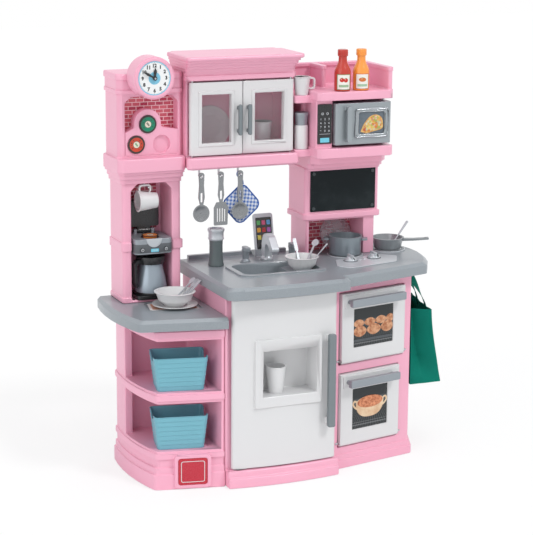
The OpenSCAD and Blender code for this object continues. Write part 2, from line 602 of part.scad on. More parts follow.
mw_axis = [mw_door_x[1] - 10, 50 - rt_shelf_d];
mw_door_z = [mw_z0 + 7, mw_z1 - 10];
mw_door_y = [12 - rt_shelf_d, 60 - rt_shelf_d];
module microwave_door() color(steel) place() difference() {
    union() {
        difference() {
            prism(rrect(mw_door_x[0], mw_door_y[0], mw_door_x[1], mw_door_y[1], 9),
                mw_door_z[0], mw_door_z[1]);
            // Dished from behind
            prism(rrect(mw_door_x[0] + 6, mw_door_y[0] + 8, mw_door_x[1] - 22, mw_door_y[1] + 30, 6),
                mw_door_z[0] + 6, mw_door_z[1] - 6);
        }
        // Raised window frame and bar handle with two feet
        plate(rrect(mw_win[0] - 9, mw_win[2] - 9, mw_win[1] + 9, mw_win[3] + 9, 16),
            mw_door_y[0] - 4, mw_door_y[0] + 2);
        plate(rrect(mw_door_x[0] + 30, mw_door_z[0] + 9, mw_door_x[0] + 44, mw_door_z[1] - 9, 6),
            mw_door_y[0] - 20, mw_door_y[0] - 11);
        for (z = [mw_door_z[0] + 9, mw_door_z[1] - 21])
            box([mw_door_x[0] + 32, mw_door_y[0] - 12, z + 1], [mw_door_x[0] + 42, mw_door_y[0] + 1, z + 11]);
    }
    // Shallow window
    plate(rrect(mw_win[0], mw_win[2], mw_win[1], mw_win[3], 10), mw_door_y[0] - 5, mw_door_y[0] + 1);
    rod_z([mw_axis[0], mw_axis[1], mw_door_z[0] - 1], pin_r + pin_fit, mw_door_z[1] - mw_door_z[0] + 2);
}
mw_win = [mw_door_x[0] + 72, mw_door_x[1] - 23, mw_door_z[0] + 29, mw_door_z[1] - 27];

// ---------- wall cupboard ----------
cupboard_top = cupboard_z + cupboard_h;
sill_t = 30;
cup_door_z = [cupboard_z + sill_t + 4, cupboard_top - 5];
cup_mid_x = (cupboard_x0 + cupboard_x1) / 2 + 2;
// Tier that overhangs the cupboard's front by f and, ahead of y_side, its ends by e
function tier(f, e, y_side) = [[cupboard_x0, 0], [cupboard_x0, y_side], [cupboard_x0 - e, y_side],
    [cupboard_x0 - e, 8 - cupboard_d - f], [cupboard_x0 - e + 8, -cupboard_d - f],
    [cupboard_x1 + e - 8, -cupboard_d - f], [cupboard_x1 + e, 8 - cupboard_d - f],
    [cupboard_x1 + e, y_side], [cupboard_x1, y_side], [cupboard_x1, 0]];
// Cornice: [height from its foot as a share, overhang] of each step
cornice = [[0, 20], [0.16, 20], [0.2, 16], [0.34, 18], [0.46, 24], [0.58, 32], [0.7, 42], [0.82, 54],
    [0.86, 58], [1, 58]];
module wall_cupboard() color(pink) place() difference() {
    union() {
        box([cupboard_x0, -cupboard_d, cupboard_z], [cupboard_x1, 0, cupboard_top + 1]);
        prism(tier(40, 8, -side_shelf_d), cupboard_z, cupboard_z + sill_t);
        prism(tier(36, 5, -side_shelf_d), cupboard_z - 4, cupboard_z + 1);
        for (i = [0:len(cornice) - 2]) {
            z0 = cupboard_top + cornice[i][0] * cornice_h;
            z1 = cupboard_top + cornice[i + 1][0] * cornice_h;
            e = cornice[i][1] * 0.28;
            prism(tier(cornice[i][1], e, z0 > lt_top_z ? -20 : -tower_d - 14), z0,
                z1 + (i < len(cornice) - 2 ? eps : 0));
        }
    }
    // Interior, open at the front
    box([cupboard_x0 + wall, -cupboard_d - 1, cupboard_z + sill_t + 6],
        [cupboard_x1 - wall, -12, cupboard_top - 8]);
    // Seats of the door pins and of the three hooks
    for (x = cup_axis_x) rod_z([x, cup_axis_y, cupboard_z + sill_t - 12], pin_r, cupboard_h);
    for (x = hook_x) rod_z([x, hook_y, cupboard_z - 5], 3, 10);
}
cup_axis_y = -cupboard_d - cup_door_t / 2 - 1;
cup_axis_x = [cupboard_x0 + 15, cupboard_x1 - 11];
door_edge = cup_door_t / 2;
stile = 35;
// Cupboard door; s = -1 for the left, 1 for the right
module cupboard_door(s) {
    ax = cup_axis_x[s < 0 ? 0 : 1];
    x_out = ax + s * door_edge;
    x_in = cup_mid_x + s * door_gap / 2;
    win = [min(x_out - s * stile, x_in + s * stile), max(x_out - s * stile, x_in + s * stile)];
    y0 = cup_axis_y - cup_door_t / 2;
    y1 = cup_axis_y + cup_door_t / 2;
    difference() {
        union() {
            box([min(ax, x_in), y0, cup_door_z[0]], [max(ax, x_in), y1, cup_door_z[1]]);
            rod_z([ax, cup_axis_y, cup_door_z[0]], door_edge, cup_door_z[1] - cup_door_z[0]);
            // Moulded frame round the pane
            plate(rrect(win[0] - 9, cup_door_z[0] + stile - 9, win[1] + 9, cup_door_z[1] - stile + 9, 2),
                y0 - 3, y0 + 1);
        }
        box([win[0], y0 - 4, cup_door_z[0] + stile], [win[1], y1 + 1, cup_door_z[1] - stile]);
        // Rebate for the pane
        box([win[0] - 6, y1 - pane_t, cup_door_z[0] + stile - 6],
            [win[1] + 6, y1 + 1, cup_door_z[1] - stile + 6]);
        rod_z([ax, cup_axis_y, cup_door_z[0] - 1], pin_r + pin_fit, cup_door_z[1] - cup_door_z[0] + 2);
    }
}
pane_t = 3;
module cupboard_pane(s) {
    ax = cup_axis_x[s < 0 ? 0 : 1];
    x_out = ax + s * (door_edge - stile);
    x_in = cup_mid_x + s * (door_gap / 2 + stile);
    y1 = cup_axis_y + cup_door_t / 2;
    box([min(x_out, x_in) - 6, y1 - pane_t, cup_door_z[0] + stile - 6],
        [max(x_out, x_in) + 6, y1, cup_door_z[1] - stile + 6]);
}
module left_cupboard_door() color(white) place() cupboard_door(-1);
module right_cupboard_door() color(white) place() cupboard_door(1);
module left_cupboard_pane() color("#e9e4e6", 0.5) place() cupboard_pane(-1);
module right_cupboard_pane() color("#e9e4e6", 0.5) place() cupboard_pane(1);
// Bar handle with two feet: bar from z0 to z1, feet meet the surface at y
module bar_handle(x, w, y, reach, z0, z1) {
    plate(rrect(x - w / 2, z0, x + w / 2, z1, w * 0.4), y - reach, y - reach + handle_t * 0.6);
    for (z = [z0 + w * 0.5, z1 - w * 1.5])
        box([x - w * 0.36, y - reach + handle_t * 0.3, z], [x + w * 0.36, y, z + w]);
}
cup_handle_z = [cupboard_z + 90, cupboard_z + 179];
module cupboard_handle(s) bar_handle(cup_mid_x + s * 15, 11, cup_axis_y - cup_door_t / 2, 24,
    cup_handle_z[0], cup_handle_z[1]);
module left_cupboard_handle() color(steel) place() cupboard_handle(-1);
module right_cupboard_handle() color(steel) place() cupboard_handle(1);

// ---------- refrigerator door ----------
fridge_x = [fridge_axis_x - fridge_door_t / 2, fridge_x1 - 9];
fridge_front_y = fridge_axis_y - fridge_door_t / 2;
niche_x = [-79, 89];
niche_z = [263, 399];
niche_back = 46 - fridge_d;
module fridge_door() color(white) place() difference() {
    union() {
        prism(concat(arc([fridge_axis_x, fridge_axis_y], fridge_door_t / 2, 90, 270, 8),
            bow([fridge_axis_x + 4, fridge_front_y], [fridge_x[1] - 6, fridge_front_y], 11, 10),
            [[fridge_x[1], fridge_front_y + 5], [fridge_x[1], fridge_front_y + fridge_door_t]]),
            fridge_door_z0, fridge_door_z1);
        // Box of the dispenser niche behind the door and its frame in front
        box([niche_x[0] - 5, fridge_front_y + 4, niche_z[0] - 6], [niche_x[1] + 5, niche_back, niche_z[1] + 5]);
        plate(rrect(niche_x[0] - 24, niche_z[0] - 32, niche_x[1] + 16, niche_z[1] + 34, 6),
            fridge_front_y - 14, fridge_front_y + 5);
        // Pads under the feet of the handle
        for (z = fridge_handle_feet) plate(rrect(fridge_handle_x - 9, z - 9, fridge_handle_x + 9, z + 9, 3),
            fridge_front_y - 12, fridge_front_y + 5);
    }
    box([niche_x[0], fridge_front_y - 20, niche_z[0]], [niche_x[1], niche_back - 5, niche_z[1]]);
    rod_z([fridge_axis_x, fridge_axis_y, fridge_door_z0 - 1], pin_r + pin_fit, 22);
    rod_z([fridge_axis_x, fridge_axis_y, fridge_door_z1 - 21], pin_r + pin_fit, 22);
}
fridge_handle_x = 130;
fridge_handle_z = [156, 434];
fridge_handle_feet = [fridge_handle_z[0] + 16, fridge_handle_z[1] - 16];
module fridge_handle() color("#8d9297") place() {
    plate(rrect(fridge_handle_x - 11, fridge_handle_z[0], fridge_handle_x + 11, fridge_handle_z[1], 5),
        fridge_front_y - 34, fridge_front_y - 34 + handle_t);
    for (z = fridge_handle_feet) rod_front([fridge_handle_x, fridge_front_y - 12, z], 7, 34 - handle_t - 12 + 1);
}

// ---------- oven doors ----------
// Oven door in the right wing's frame, rounded about its hinge line at the bottom
module oven_door(z, w, h) difference() {
    union() {
        box([oven_x0, -oven_door_t / 2, z + oven_door_t / 2], [oven_x0 + w, oven_door_t / 2, z + h]);
        rod_x([oven_x0, 0, z + oven_door_t / 2], oven_door_t / 2, w);
        // Raised top rail that carries the handle
        plate(rrect(oven_x0 + 8, z + h - 44, oven_x0 + w - 8, z + h - 6, 5), -oven_door_t / 2 - 3, 0);
    }
    // Window
    plate(rrect(oven_x0 + 44, z + 46, oven_x0 + w - 44, z + h - 50, 2), -20, -oven_door_t / 2 + 3);
    rod_x([oven_x0 - 1, 0, z + oven_door_t / 2], pin_r + pin_fit, 16);
    rod_x([oven_x0 + w - 15, 0, z + oven_door_t / 2], pin_r + pin_fit, 16);
}
module oven_handle(z, w, h) {
    y = -oven_door_t / 2 - 3;
    plate(rrect(oven_x0 + 14, z + h - 36, oven_x0 + w - 22, z + h - 13, 3), y - 30, y - 30 + handle_t);
    for (x = [oven_x0 + 24, oven_x0 + w - 32]) rod_front([x, y, z + h - 24], 7, 30 - handle_t + 1);
}
module upper_oven_door() color(white) place() right_wing() oven_door(up_oven_z, upper_oven_w, upper_oven_h);
module lower_oven_door() color(white) place() right_wing() oven_door(low_oven_z, lower_oven_w, lower_oven_h);
module upper_oven_handle() color("#8d9297") place() right_wing() oven_handle(up_oven_z, upper_oven_w, upper_oven_h);
module lower_oven_handle() color("#8d9297") place() right_wing() oven_handle(low_oven_z, lower_oven_w, lower_oven_h);

// ---------- printed brick panels ----------
brick_t = 1.5;
module brick_panels() color("#b8434f") place() {
    plate(recess_outline(-0.3), upper_recess_y - brick_t, upper_recess_y);
    plate(rrect(nook_x[0] + 14, nook_top - 150, nook_x[1] - 14, nook_top - 14, 2), -20 - brick_t, -20);
    plate(rrect(pot_nook_x[0] + 0.3, high_top_z + 0.3, pot_nook_x[1] - 0.3, rt_band_z - 5.3, 1), -20 - brick_t, -20);
    plate(rrect(cupboard_x1 + 1, mw_z0 - 6.7, rt_x0 - 12.3, mw_z1 - 10.3, 1), -14 - brick_t, -14);
}

// ---------- hooks ----------
hook_y = -158;
hook_x = [-188, -128, -68];
arm_r = 2.5;
arm_z = cupboard_z - 22;
arm_l = 28;
bag_p = [right_side_x + 8, -250];
bag_l = 220;
bag_hook_z = main_base_h - 24;
bag_hook_r = 4;
module bag_frame() translate([bag_p[0], bag_p[1], 0]) rotate(-11.8) children();
mug_c = [nook_x[0] + 49, 10 - tower_d, nook_top - 52];
module hooks() color(steel) place() {
    for (x = hook_x) {
        rod_z([x, hook_y, arm_z], 3, cupboard_z + 5 - arm_z);
        rod_front([x, hook_y + 3, arm_z], arm_r, arm_l);
        translate([x, hook_y + 3 - arm_l, arm_z]) sphere(r = 3.6);
    }
    // Cup hook under the top of the coffee nook
    rod_z([mug_c[0] + 4, -74, nook_top - 12], 3, 12);
    rod_front([mug_c[0] + 4, -71, nook_top - 12], arm_r, 44);
    translate([mug_c[0] + 4, -115, nook_top - 12]) sphere(r = 3.6);
    // Bag hook on the side panel
    bag_frame() {
        rod_x([-30, bag_l / 2, bag_hook_z], bag_hook_r, 58);
        translate([28, bag_l / 2, bag_hook_z]) sphere(r = 6);
    }
}

// ---------- hanging utensils ----------
utensil_y = hook_y - 19;
// Handle that hangs on an arm at the origin; long slot below the hole
module utensil_handle(l) difference() {
    plate(rounded([[-4, -l, 0], [4, -l, 0], [9.5, -l * 0.72, 6], [7, -l * 0.3, 8], [9, 11, 8], [-9, 11, 8],
        [-7, -l * 0.3, 8], [-9.5, -l * 0.72, 6]]), -2, 2);
    rod_front([0, 3, -1.4], 4, 6);
    plate(rrect(-3.5, -l * 0.88, 3.5, -l * 0.55, 3.4), -3, 3);
}
// Round dish of radius r, opening forward, its rim at y = 0
module spoon_bowl(r, depth) rotate([90, 0, 0]) difference() {
    ball = (r * r + depth * depth) / (2 * depth);
    translate([0, 0, -depth + ball]) sphere(r = ball, $fn = 60);
    translate([0, 0, -depth + ball]) sphere(r = ball - 2, $fn = 60);
    translate([0, 0, ball]) cube(2 * ball, center = true);
}
module hanging_utensils() color(steel) place() {
    for (i = [0, 2]) translate([hook_x[i], utensil_y, arm_z]) {
        difference() {
            utensil_handle(86);
            translate([0, 0, -108]) rod_front([0, 10, 0], 25, 20);
        }
        translate([0, 2, -108]) spoon_bowl(25.5, 7);
    }
    translate([hook_x[1], utensil_y, arm_z]) {
        utensil_handle(80);
        difference() {
            plate(rounded([[-14, -78, 5], [14, -78, 5], [22, -94, 4], [20, -146, 3], [-22, -146, 3],
                [-22, -94, 4]]), -1.5, 1.5);
            for (x = [-11, -3.5, 4, 11.5]) plate(rrect(x - 1.6, -136, x + 1.6, -96, 1.5), -3, 3);
        }
    }
}
// Quilted cloth pot holder behind the last spoon, hung by its corner loop
holder_side = 92;
module pot_holder() color("#6f93c4") place() translate([hook_x[2], hook_y - 6.5, arm_z]) {
    translate([8, 0, -90]) rotate([0, 49, 0])
        plate(rrect(-holder_side / 2, -holder_side / 2, holder_side / 2, holder_side / 2, 9), -3, 3);
    difference() {
        plate(rrect(-5, -34, 5, 8, 4.5), -1.5, 1.5);
        rod_front([0, 3, -1.4], 4, 6);
    }
}

// ---------- pots and pans ----------
burner_z = high_top_z + 3.2;
pot_h = 56;
// Turned vessel: foot radius, rim radius, height, from a foot at the origin
module vessel(r0, r1, h, t = dish_wall) rotate_extrude() polygon(concat(
    [[0, 0], [r0, 0]], arc([r0, 6], 6, -90, -20, 3), [[r1, h], [r1 + 2, h], [r1 + 2, h + 1.5], [r1 - t, h + 1.5],
    [r0 + 4 - t, 8], [r0 - 2, t], [0, t]]));
module pot() color("#8f9295") place() translate([pot_pos[0], pot_pos[1], burner_z]) {
    vessel(pot_r - 7, pot_r, pot_h);
    for (s = [-1, 1]) rotate(-24) difference() {
        prism(rrect(s * (pot_r + 7) - 11, -14, s * (pot_r + 7) + 11, 14, 8), pot_h - 12, pot_h - 6);
        translate([0, 0, pot_h - 20]) cylinder(r = pot_r - 3, h = 30);
    }
}
// Clear domed lid that leans on the back of the nook behind the pot
lid_r = 52;
lid_lean = 14;
module pot_lid() color("#d8dde0", 0.5) place()
    translate([pot_nook_x[1] - lid_r - 2, -20 - brick_t - fit_gap - lid_r * sin(lid_lean),
        high_top_z + fit_gap + lid_r * cos(lid_lean)]) rotate([90 - lid_lean, 0, 0])
        rotate_extrude() polygon([[0, 12], [lid_r * 0.5, 10], [lid_r * 0.85, 4.5], [lid_r - 3, 0], [lid_r, 0],
            [lid_r, 2], [lid_r * 0.88, 7.5], [lid_r * 0.52, 13.6], [6, 15], [6, 19], [11, 22], [9, 27], [0, 28]]);
pan_r = 48;
pan_h = 34;
pan_handle_turn = -26;
module frying_pan() color("#8f9295") place() translate([pan_pos[0], pan_pos[1], burner_z]) {
    vessel(pan_r - 12, pan_r, pan_h);
    rotate(pan_handle_turn) difference() {
        side_handle();
        // Cut inside the flared wall
        cylinder(r1 = pan_r - 11.5, r2 = pan_r + 6, h = 60);
    }
}
// Flat handle that rises away from the rim, with a hanging hole
module side_handle() difference() {
    plate(rounded([[pan_r - 8, pan_h - 10, 0], [pan_r + 30, pan_h - 8, 20], [pan_r + 78, pan_h - 4, 2],
        [pan_r + 78, pan_h + 2, 2], [pan_r + 30, pan_h - 2, 20], [pan_r - 8, pan_h - 2, 0]]), -8, 8);
    rod_z([pan_r + 68, 0, 0], 4, 60);
}

// ---------- worktop fittings ----------
fit_gap = 0.4;
knob_r = 19;
module hob_knob(p) color("#c4c8cc") place() translate([p[0], p[1], high_top_z + 3 + fit_gap]) {
    rotate_extrude() polygon([[0, 0], [knob_r, 0], [knob_r, 4], [knob_r - 4, 8], [12, 10], [10, 13], [0, 14]]);
    // Grip ridge
    box([-4, -knob_r + 2, 3], [4, knob_r - 2, 18]);
    rod_z([0, 0, -15], spindle_r, 16);
}
module left_hob_knob() hob_knob(knob_pos[0]);
module right_hob_knob() hob_knob(knob_pos[1]);
module tap(p, turn) color("#b4b8bc") place() translate([p[0], p[1], high_top_z + 3 + fit_gap]) {
    rotate_extrude() polygon([[0, 0], [14, 0], [13, 4], [9.5, 8], [10.5, 30], [12, 34], [10, 40], [0, 42]]);
    rotate(turn) prism(rrect(-8, -24, 8, 14, 6), 33, 44);
    rod_z([0, 0, -16], spindle_r, 17);
}
module left_tap() tap(tap_pos[0], 0);
module right_tap() tap(tap_pos[1], 0);
module faucet() color("#b4b8bc") place() translate([faucet_pos[0], faucet_pos[1], high_top_z + 3 + fit_gap]) {
    rotate_extrude() polygon([[0, 0], [18, 0], [17, 5], [13, 10], [12, 30], [0, 30]]);
    difference() {
        side_bar(rounded([[13, 6, 0], [14, 52, 14], [0, 82, 20], [-34, 76, 20], [-66, 42, 6], [-66, 32, 3],
            [-46, 32, 3], [-30, 50, 14], [-12, 46, 10], [-12, 6, 0]]), -12, 12);
        // Mouth of the spout
        rod_z([0, -56, 30], 6, 8);
    }
    rod_z([0, 0, -16], spindle_r, 17);
}
module phone() color("#9ea3a8") place() phone_frame() difference() {
    plate(rrect(-phone_w / 2, 0, phone_w / 2, phone_h, 8), -phone_t / 2, phone_t / 2);
    plate(rrect(-phone_w / 2 + 5, 14, phone_w / 2 - 5, phone_h - 12, 2), -phone_t, 1 - phone_t / 2);
}
mill_pos = [-120, -118];
salt_pos = [cupboard_x1 + 28, -138];
module shakers() color("#6a7075") place() {
    translate([mill_pos[0], mill_pos[1], high_top_z]) rotate_extrude() polygon([[0, 0], [23, 0], [23, 8],
        [19, 44], [20, 78], [24, 82], [23, 100], [25, 112], [0, 112]]);
    translate([salt_pos[0], salt_pos[1], mw_z0 - 7]) rotate_extrude() polygon([[0, 0], [20, 0], [20, 70],
        [17, 76], [21, 106], [0, 108]]);
}
bottle_x = [rt_x0 + 86, rt_x0 + 146];
module sauce_bottles() color("#c9402e") place() for (x = bottle_x)
    translate([x, 32 - rt_shelf_d, rt_top_z]) rotate_extrude() polygon([[0, 0], [22, 0], [24, 3], [24, 62],
        [20, 74], [13, 88], [12, 108], [15, 109], [15, 127], [0, 128]]);

// ---------- crockery ----------
mat_centre = left_wing_at(-124, 128);
mat_top = low_top_z - 3 + 1.4;
serving = [-277, -194];
sink_bowl_c = [110, -222];
bowl_h = 42;
module plate_dish(r) rotate_extrude() polygon([[0, 0], [r * 0.52, 0], [r * 0.6, 3], [r, 9], [r, 11],
    [r * 0.6, 5.4], [r * 0.52, 2.6], [0, 2.6]]);
module bowl_dish(r, h) rotate_extrude() polygon([[0, 0], [r * 0.44, 0], [r * 0.46, 3], [r * 0.8, h * 0.45],
    [r * 0.93, h], [r, h], [r, h + 2], [r * 0.89, h + 2], [r * 0.76, h * 0.5], [r * 0.42, 5], [0, 5]]);
module cup(r0, r1, h) rotate_extrude() polygon([[0, 0], [r0, 0], [r1, h - 2], [r1 + 1.5, h - 2], [r1 + 1.5, h],
    [r1 - dish_wall, h], [r0 - dish_wall, dish_wall], [0, dish_wall]]);
module cup_handle(x, z0, z1, reach) difference() {
    plate(rrect(x - 4, z0, x + reach, z1, 9), -4, 4);
    plate(rrect(x - 5, z0 + 5, x + reach - 5, z1 - 5, 6), -5, 5);
}
module mug(r0, r1, h) {
    cup(r0, r1, h);
    difference() {
        cup_handle(r1 - 2, h * 0.28, h * 0.94, 20);
        translate([0, 0, 2]) cylinder(r1 = r0 - 1, r2 = r1 - 1, h = h);
    }
}
module crockery() color(white) place() {
    translate([serving[0], serving[1], mat_top + 0.2]) plate_dish(plate_r);
    translate([serving[0], serving[1], mat_top + 3]) bowl_dish(60, bowl_h);
    translate([sink_bowl_c[0], sink_bowl_c[1], high_top_z - tray_d + 0.1]) bowl_dish(50, bowl_h);
    // Plate that stands against the cupboard's back, and a cup beside it
    translate([cupboard_x0 + 118, -18.6, cupboard_z + sill_t + 65.9]) rotate([80, 0, 0]) plate_dish(62);
    translate([cupboard_x1 - 66, -66, cupboard_z + sill_t + 6.1]) cup(22, 29, 76);
    // Measuring cup on the side shelf
    translate([salt_pos[0], salt_pos[1], rt_top_z - 13 + 0.1]) mug(19, 25, 54);
    // Cup that hangs by its handle in the coffee nook
    translate([mug_c[0] + 30, mug_c[1], mug_c[2]]) rotate([0, -90, 0]) mug(22, 30, 58);
}
module dispenser_cup() color(white) place() translate([niche_x[0] + 56, niche_back - 40, niche_z[0]]) cup(21, 29, 80);

// Spoon, fork or knife along +X from the end of its handle
module cutlery_piece(kind) {
    plate(rounded([[0, -5, 3], [28, -4, 0], [60, -2.4, 0], [78, -2.4, 0], [78, 2.4, 0], [60, 2.4, 0],
        [28, 4, 0], [0, 5, 3]]), -1.2, 1.2);
    if (kind == "spoon") plate(arc([86, 0], 11.5, -170, 170, 14), -1.2, 1.2);
    if (kind == "knife") plate(rounded([[56, -5, 0], [97, -6, 7], [98, 5, 2], [56, 5, 0]]), -1.2, 1.2);
    if (kind == "fork") difference() {
        plate(rrect(68, -8, 98, 8, 5), -1.2, 1.2);
        for (z = [-4, 0, 4]) plate(rrect(80, z - 1, 104, z + 1, 0.9), -2, 2);
    }
}
// Piece laid in a vessel: foot of the handle r from the centre, rising by el towards az
module leaning(kind, az, r, el, side = 0) rotate(az) translate([r, side, 1.2])
    rotate([0, -el, 0]) rotate([90, 0, 0]) cutlery_piece(kind);
module cutlery() color("#c8ccd0") place() {
    translate([serving[0], serving[1], mat_top + 8]) for (i = [0:2])
        leaning(["knife", "fork", "spoon"][i], 8, 3, 41, [-15.5, -1, 20.5][i]);
    translate([sink_bowl_c[0], sink_bowl_c[1], high_top_z - tray_d + 5.1]) for (i = [0:2])
        leaning(["fork", "spoon", "knife"][i], [-25, 30, 85][i], 12, 51);
    // Serving spoon in the pan, its bowl down
    translate([pan_pos[0], pan_pos[1], burner_z + dish_wall]) rotate(15) translate([14, 0, 1.2])
        rotate([0, -47, 0]) rotate([90, 0, 0]) translate([98, 0, 0]) rotate([0, 180, 0]) cutlery_piece("spoon");
}
module placemat() color("#c77b4a") place() left_wing()
    prism(mat_outline(0, 6), low_top_z - 3, low_top_z - 3 + 1.4);

// ---------- tote bag ----------
bag_z = [219, 452];
bag_top_w = 60;
bag_foot_w = 100;
module bag_profile(t) polygon([[t, bag_z[0] + t], [bag_foot_w - t, bag_z[0] + t],
    [bag_top_w - t, bag_z[1] + (t > 0 ? 1 : 0)], [t, bag_z[1] + (t > 0 ? 1 : 0)]]);
// Carrying strap: two arms from the bag's mouth to the hook
module bag_strap(h) side_bar([[bag_l / 2 - 62, -18], [bag_l / 2 - 40, -18], [bag_l / 2, h - 12],
    [bag_l / 2 + 40, -18], [bag_l / 2 + 62, -18], [bag_l / 2 + 10, h + 6], [bag_l / 2 - 10, h + 6]], 0, 2);
module tote_bag() color("#157a5e") place() bag_frame() {
    difference() {
        translate([0, bag_l, 0]) rotate([90, 0, 0]) linear_extrude(bag_l) bag_profile(0);
        translate([0, bag_l - 2.5, 0]) rotate([90, 0, 0]) linear_extrude(bag_l - 5) bag_profile(2.5);
    }
    difference() {
        union() {
            translate([0.4, 0, bag_z[1]]) rotate([0, 3, 0]) bag_strap(bag_hook_z - bag_z[1] + 14);
            translate([bag_top_w - 2.4, 0, bag_z[1]]) rotate([0, -24, 0]) bag_strap(106);
        }
        rod_x([-30, bag_l / 2, bag_hook_z], bag_hook_r + 0.4, 90);
    }
}

// ---------- fasteners and pins ----------
module fasteners() color("#5c6166") place() {
    for (x = [board_x[0] + 10, board_x[1] - 10], z = [board_z[0] + 10, board_z[1] - 10]) {
        rod_front([x, -tower_d - 2, z], 3, 5);
        rod_front([x, -tower_d - 6, z], 5, 2);
    }
    for (x = [nook_x[0] + 5.4, nook_x[1] - 5.4]) rod_z([x, 6 - tower_d, nook_floor], 5, 2);
}
module hinge_pins() color("#8a8f94") place() {
    rod_z([fridge_axis_x, fridge_axis_y, plinth_h - 16], pin_r, 16 + door_gap + 18);
    rod_z([fridge_axis_x, fridge_axis_y, fridge_door_z1 - 18], pin_r, main_base_h + 13 - fridge_door_z1 + 18);
    for (x = cup_axis_x) {
        rod_z([x, cup_axis_y, cupboard_z + sill_t - 12], pin_r, 12 + 4 + 14);
        rod_z([x, cup_axis_y, cup_door_z[1] - 14], pin_r, 14 + 5 + 12);
    }
    rod_z([mw_axis[0], mw_axis[1], mw_z0 - 12], pin_r, 12 + 7 + 14);
    rod_z([mw_axis[0], mw_axis[1], mw_door_z[1] - 14], pin_r, 14 + 10 + 12);
    right_wing() for (o = [[low_oven_z, lower_oven_w], [up_oven_z, upper_oven_w]]) {
        rod_x([oven_x0 - door_gap - 9, 0, o[0] + oven_door_t / 2], pin_r, door_gap + 9 + 13);
        rod_x([oven_x0 + o[1] - 13, 0, o[0] + oven_door_t / 2], pin_r, door_gap + 9 + 13);
    }
    rod_x([coffee_x - 32, lid_axis[0], lid_axis[1]], pin_r, 64);
    rod_front([clock_c[0], clock_face_y + 14, clock_c[1]], clock_pin_r, 24);
}

// ---------- baskets ----------
basket_l = 118;
basket_p = [-200, 10];
basket_tiers = 7;
basket_t = 2.5;
function basket_outline(i, t) = let (s = 11 * (1 - i / basket_tiers))
    rrect(basket_p[0] + s + t, basket_p[1] + s * 0.7 + t, basket_p[0] + basket_w - s - t,
        basket_p[1] + basket_l - s * 0.7 - t, 12 - t);
module basket(z) color("#8fd0e4") place() left_wing() translate([0, 0, z + fit_gap]) difference() {
    step = basket_h / basket_tiers;
    for (i = [0:basket_tiers - 1])
        prism(basket_outline(i, 0), i * step, (i + 1) * step + (i < basket_tiers - 1 ? 0.5 : 0));
    for (i = [0:basket_tiers - 1])
        prism(basket_outline(i, basket_t), max(i * step, basket_t), (i + 1) * step + 0.6);
    // Scooped rim and grip hole of both short sides
    rod_x([basket_p[0] - 10, basket_p[1] + basket_l / 2, basket_h + 18], basket_l * 0.32, basket_w + 20);
}
module upper_basket() basket(mid_shelf_z);
module lower_basket() basket(low_shelf_z);

left_base();
centre_base();
right_base();
left_tower();
right_tower();
wall_cupboard();
left_counter();
main_counter();
hob_panel();
microwave_panel();
chalkboard();
brick_panels();
clock_housing();
clock_face();
pod_holder();
coffee_pods();
coffee_maker();
carafe();
carafe_handle();
hooks();
hanging_utensils();
pot_holder();
pot();
pot_lid();
frying_pan();
phone();
shakers();
sauce_bottles();
crockery();
cutlery();
placemat();
tote_bag();
fasteners();
hinge_pins();
fridge_door();
fridge_handle();
dispenser_cup();
upper_oven_door();
upper_oven_handle();
lower_oven_door();
lower_oven_handle();
left_cupboard_door();
right_cupboard_door();
left_cupboard_pane();
right_cupboard_pane();
left_cupboard_handle();
right_cupboard_handle();
microwave_door();
minute_hand();
hour_hand();
coffee_lid();
left_coffee_button();
right_coffee_button();
left_hob_knob();
right_hob_knob();
faucet();
left_tap();
right_tap();
upper_basket();
lower_basket();
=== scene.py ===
# %% [markdown]
# # A toy kitchen, dressed for the studio
# The packed model gives every solid of the kitchen in metres, with its back plane near y = 0.2 and its
# floor at z = 0. This script softens those solids as a mould would, adds the printed, woven and sewn
# pieces, and gives each surface its finish. The frame is loaded first, because all places come from it.

# %% Load the frame
import json
import math

import bmesh
import bpy
import numpy as np
from mathutils import Matrix, Vector


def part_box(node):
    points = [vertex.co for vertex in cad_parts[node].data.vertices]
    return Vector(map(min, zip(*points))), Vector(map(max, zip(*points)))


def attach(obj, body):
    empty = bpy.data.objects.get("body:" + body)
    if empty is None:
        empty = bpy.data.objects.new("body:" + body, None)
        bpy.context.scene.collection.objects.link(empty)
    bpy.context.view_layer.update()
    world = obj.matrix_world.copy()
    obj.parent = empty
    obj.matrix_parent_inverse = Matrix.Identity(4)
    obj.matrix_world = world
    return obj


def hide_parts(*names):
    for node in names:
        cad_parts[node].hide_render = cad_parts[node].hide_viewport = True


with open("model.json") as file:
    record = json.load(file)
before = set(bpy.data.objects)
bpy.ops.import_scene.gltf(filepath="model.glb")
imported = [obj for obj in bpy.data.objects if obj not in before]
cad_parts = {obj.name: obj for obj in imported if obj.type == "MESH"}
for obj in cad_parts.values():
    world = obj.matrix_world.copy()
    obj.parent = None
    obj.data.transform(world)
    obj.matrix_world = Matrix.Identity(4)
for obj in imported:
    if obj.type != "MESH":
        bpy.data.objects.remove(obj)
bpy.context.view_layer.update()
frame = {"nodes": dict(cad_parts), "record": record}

body_of_node = {node: body for body, members in frame["record"]["behaviour"]["bodies"].items()
                for node in members}
slot_of_node = {part["node"]: part["material_slot"] for part in frame["record"]["subparts"]}

# %% [markdown]
# ## The camera
# It stands to the left of the kitchen, half a metre higher than its top and five metres away, with a
# long lens, so that upright edges stay nearly parallel. Its place was worked out from the outline of
# the whole and from those edges.

# %% Camera
CAMERA_PLACE = Vector((-2.0047, -4.7198, 1.7589))
CAMERA_YAW, CAMERA_DOWN, CAMERA_ROLL = (math.radians(a) for a in (23.08, 12.738, 0.4236))
LENS_MM, FARTHEST = 120.97, 60


def new_object(name, data):
    """An object in the scene that shows a mesh, a lamp or a camera."""
    made = bpy.data.objects.new(name, data)
    bpy.context.scene.collection.objects.link(made)
    return made


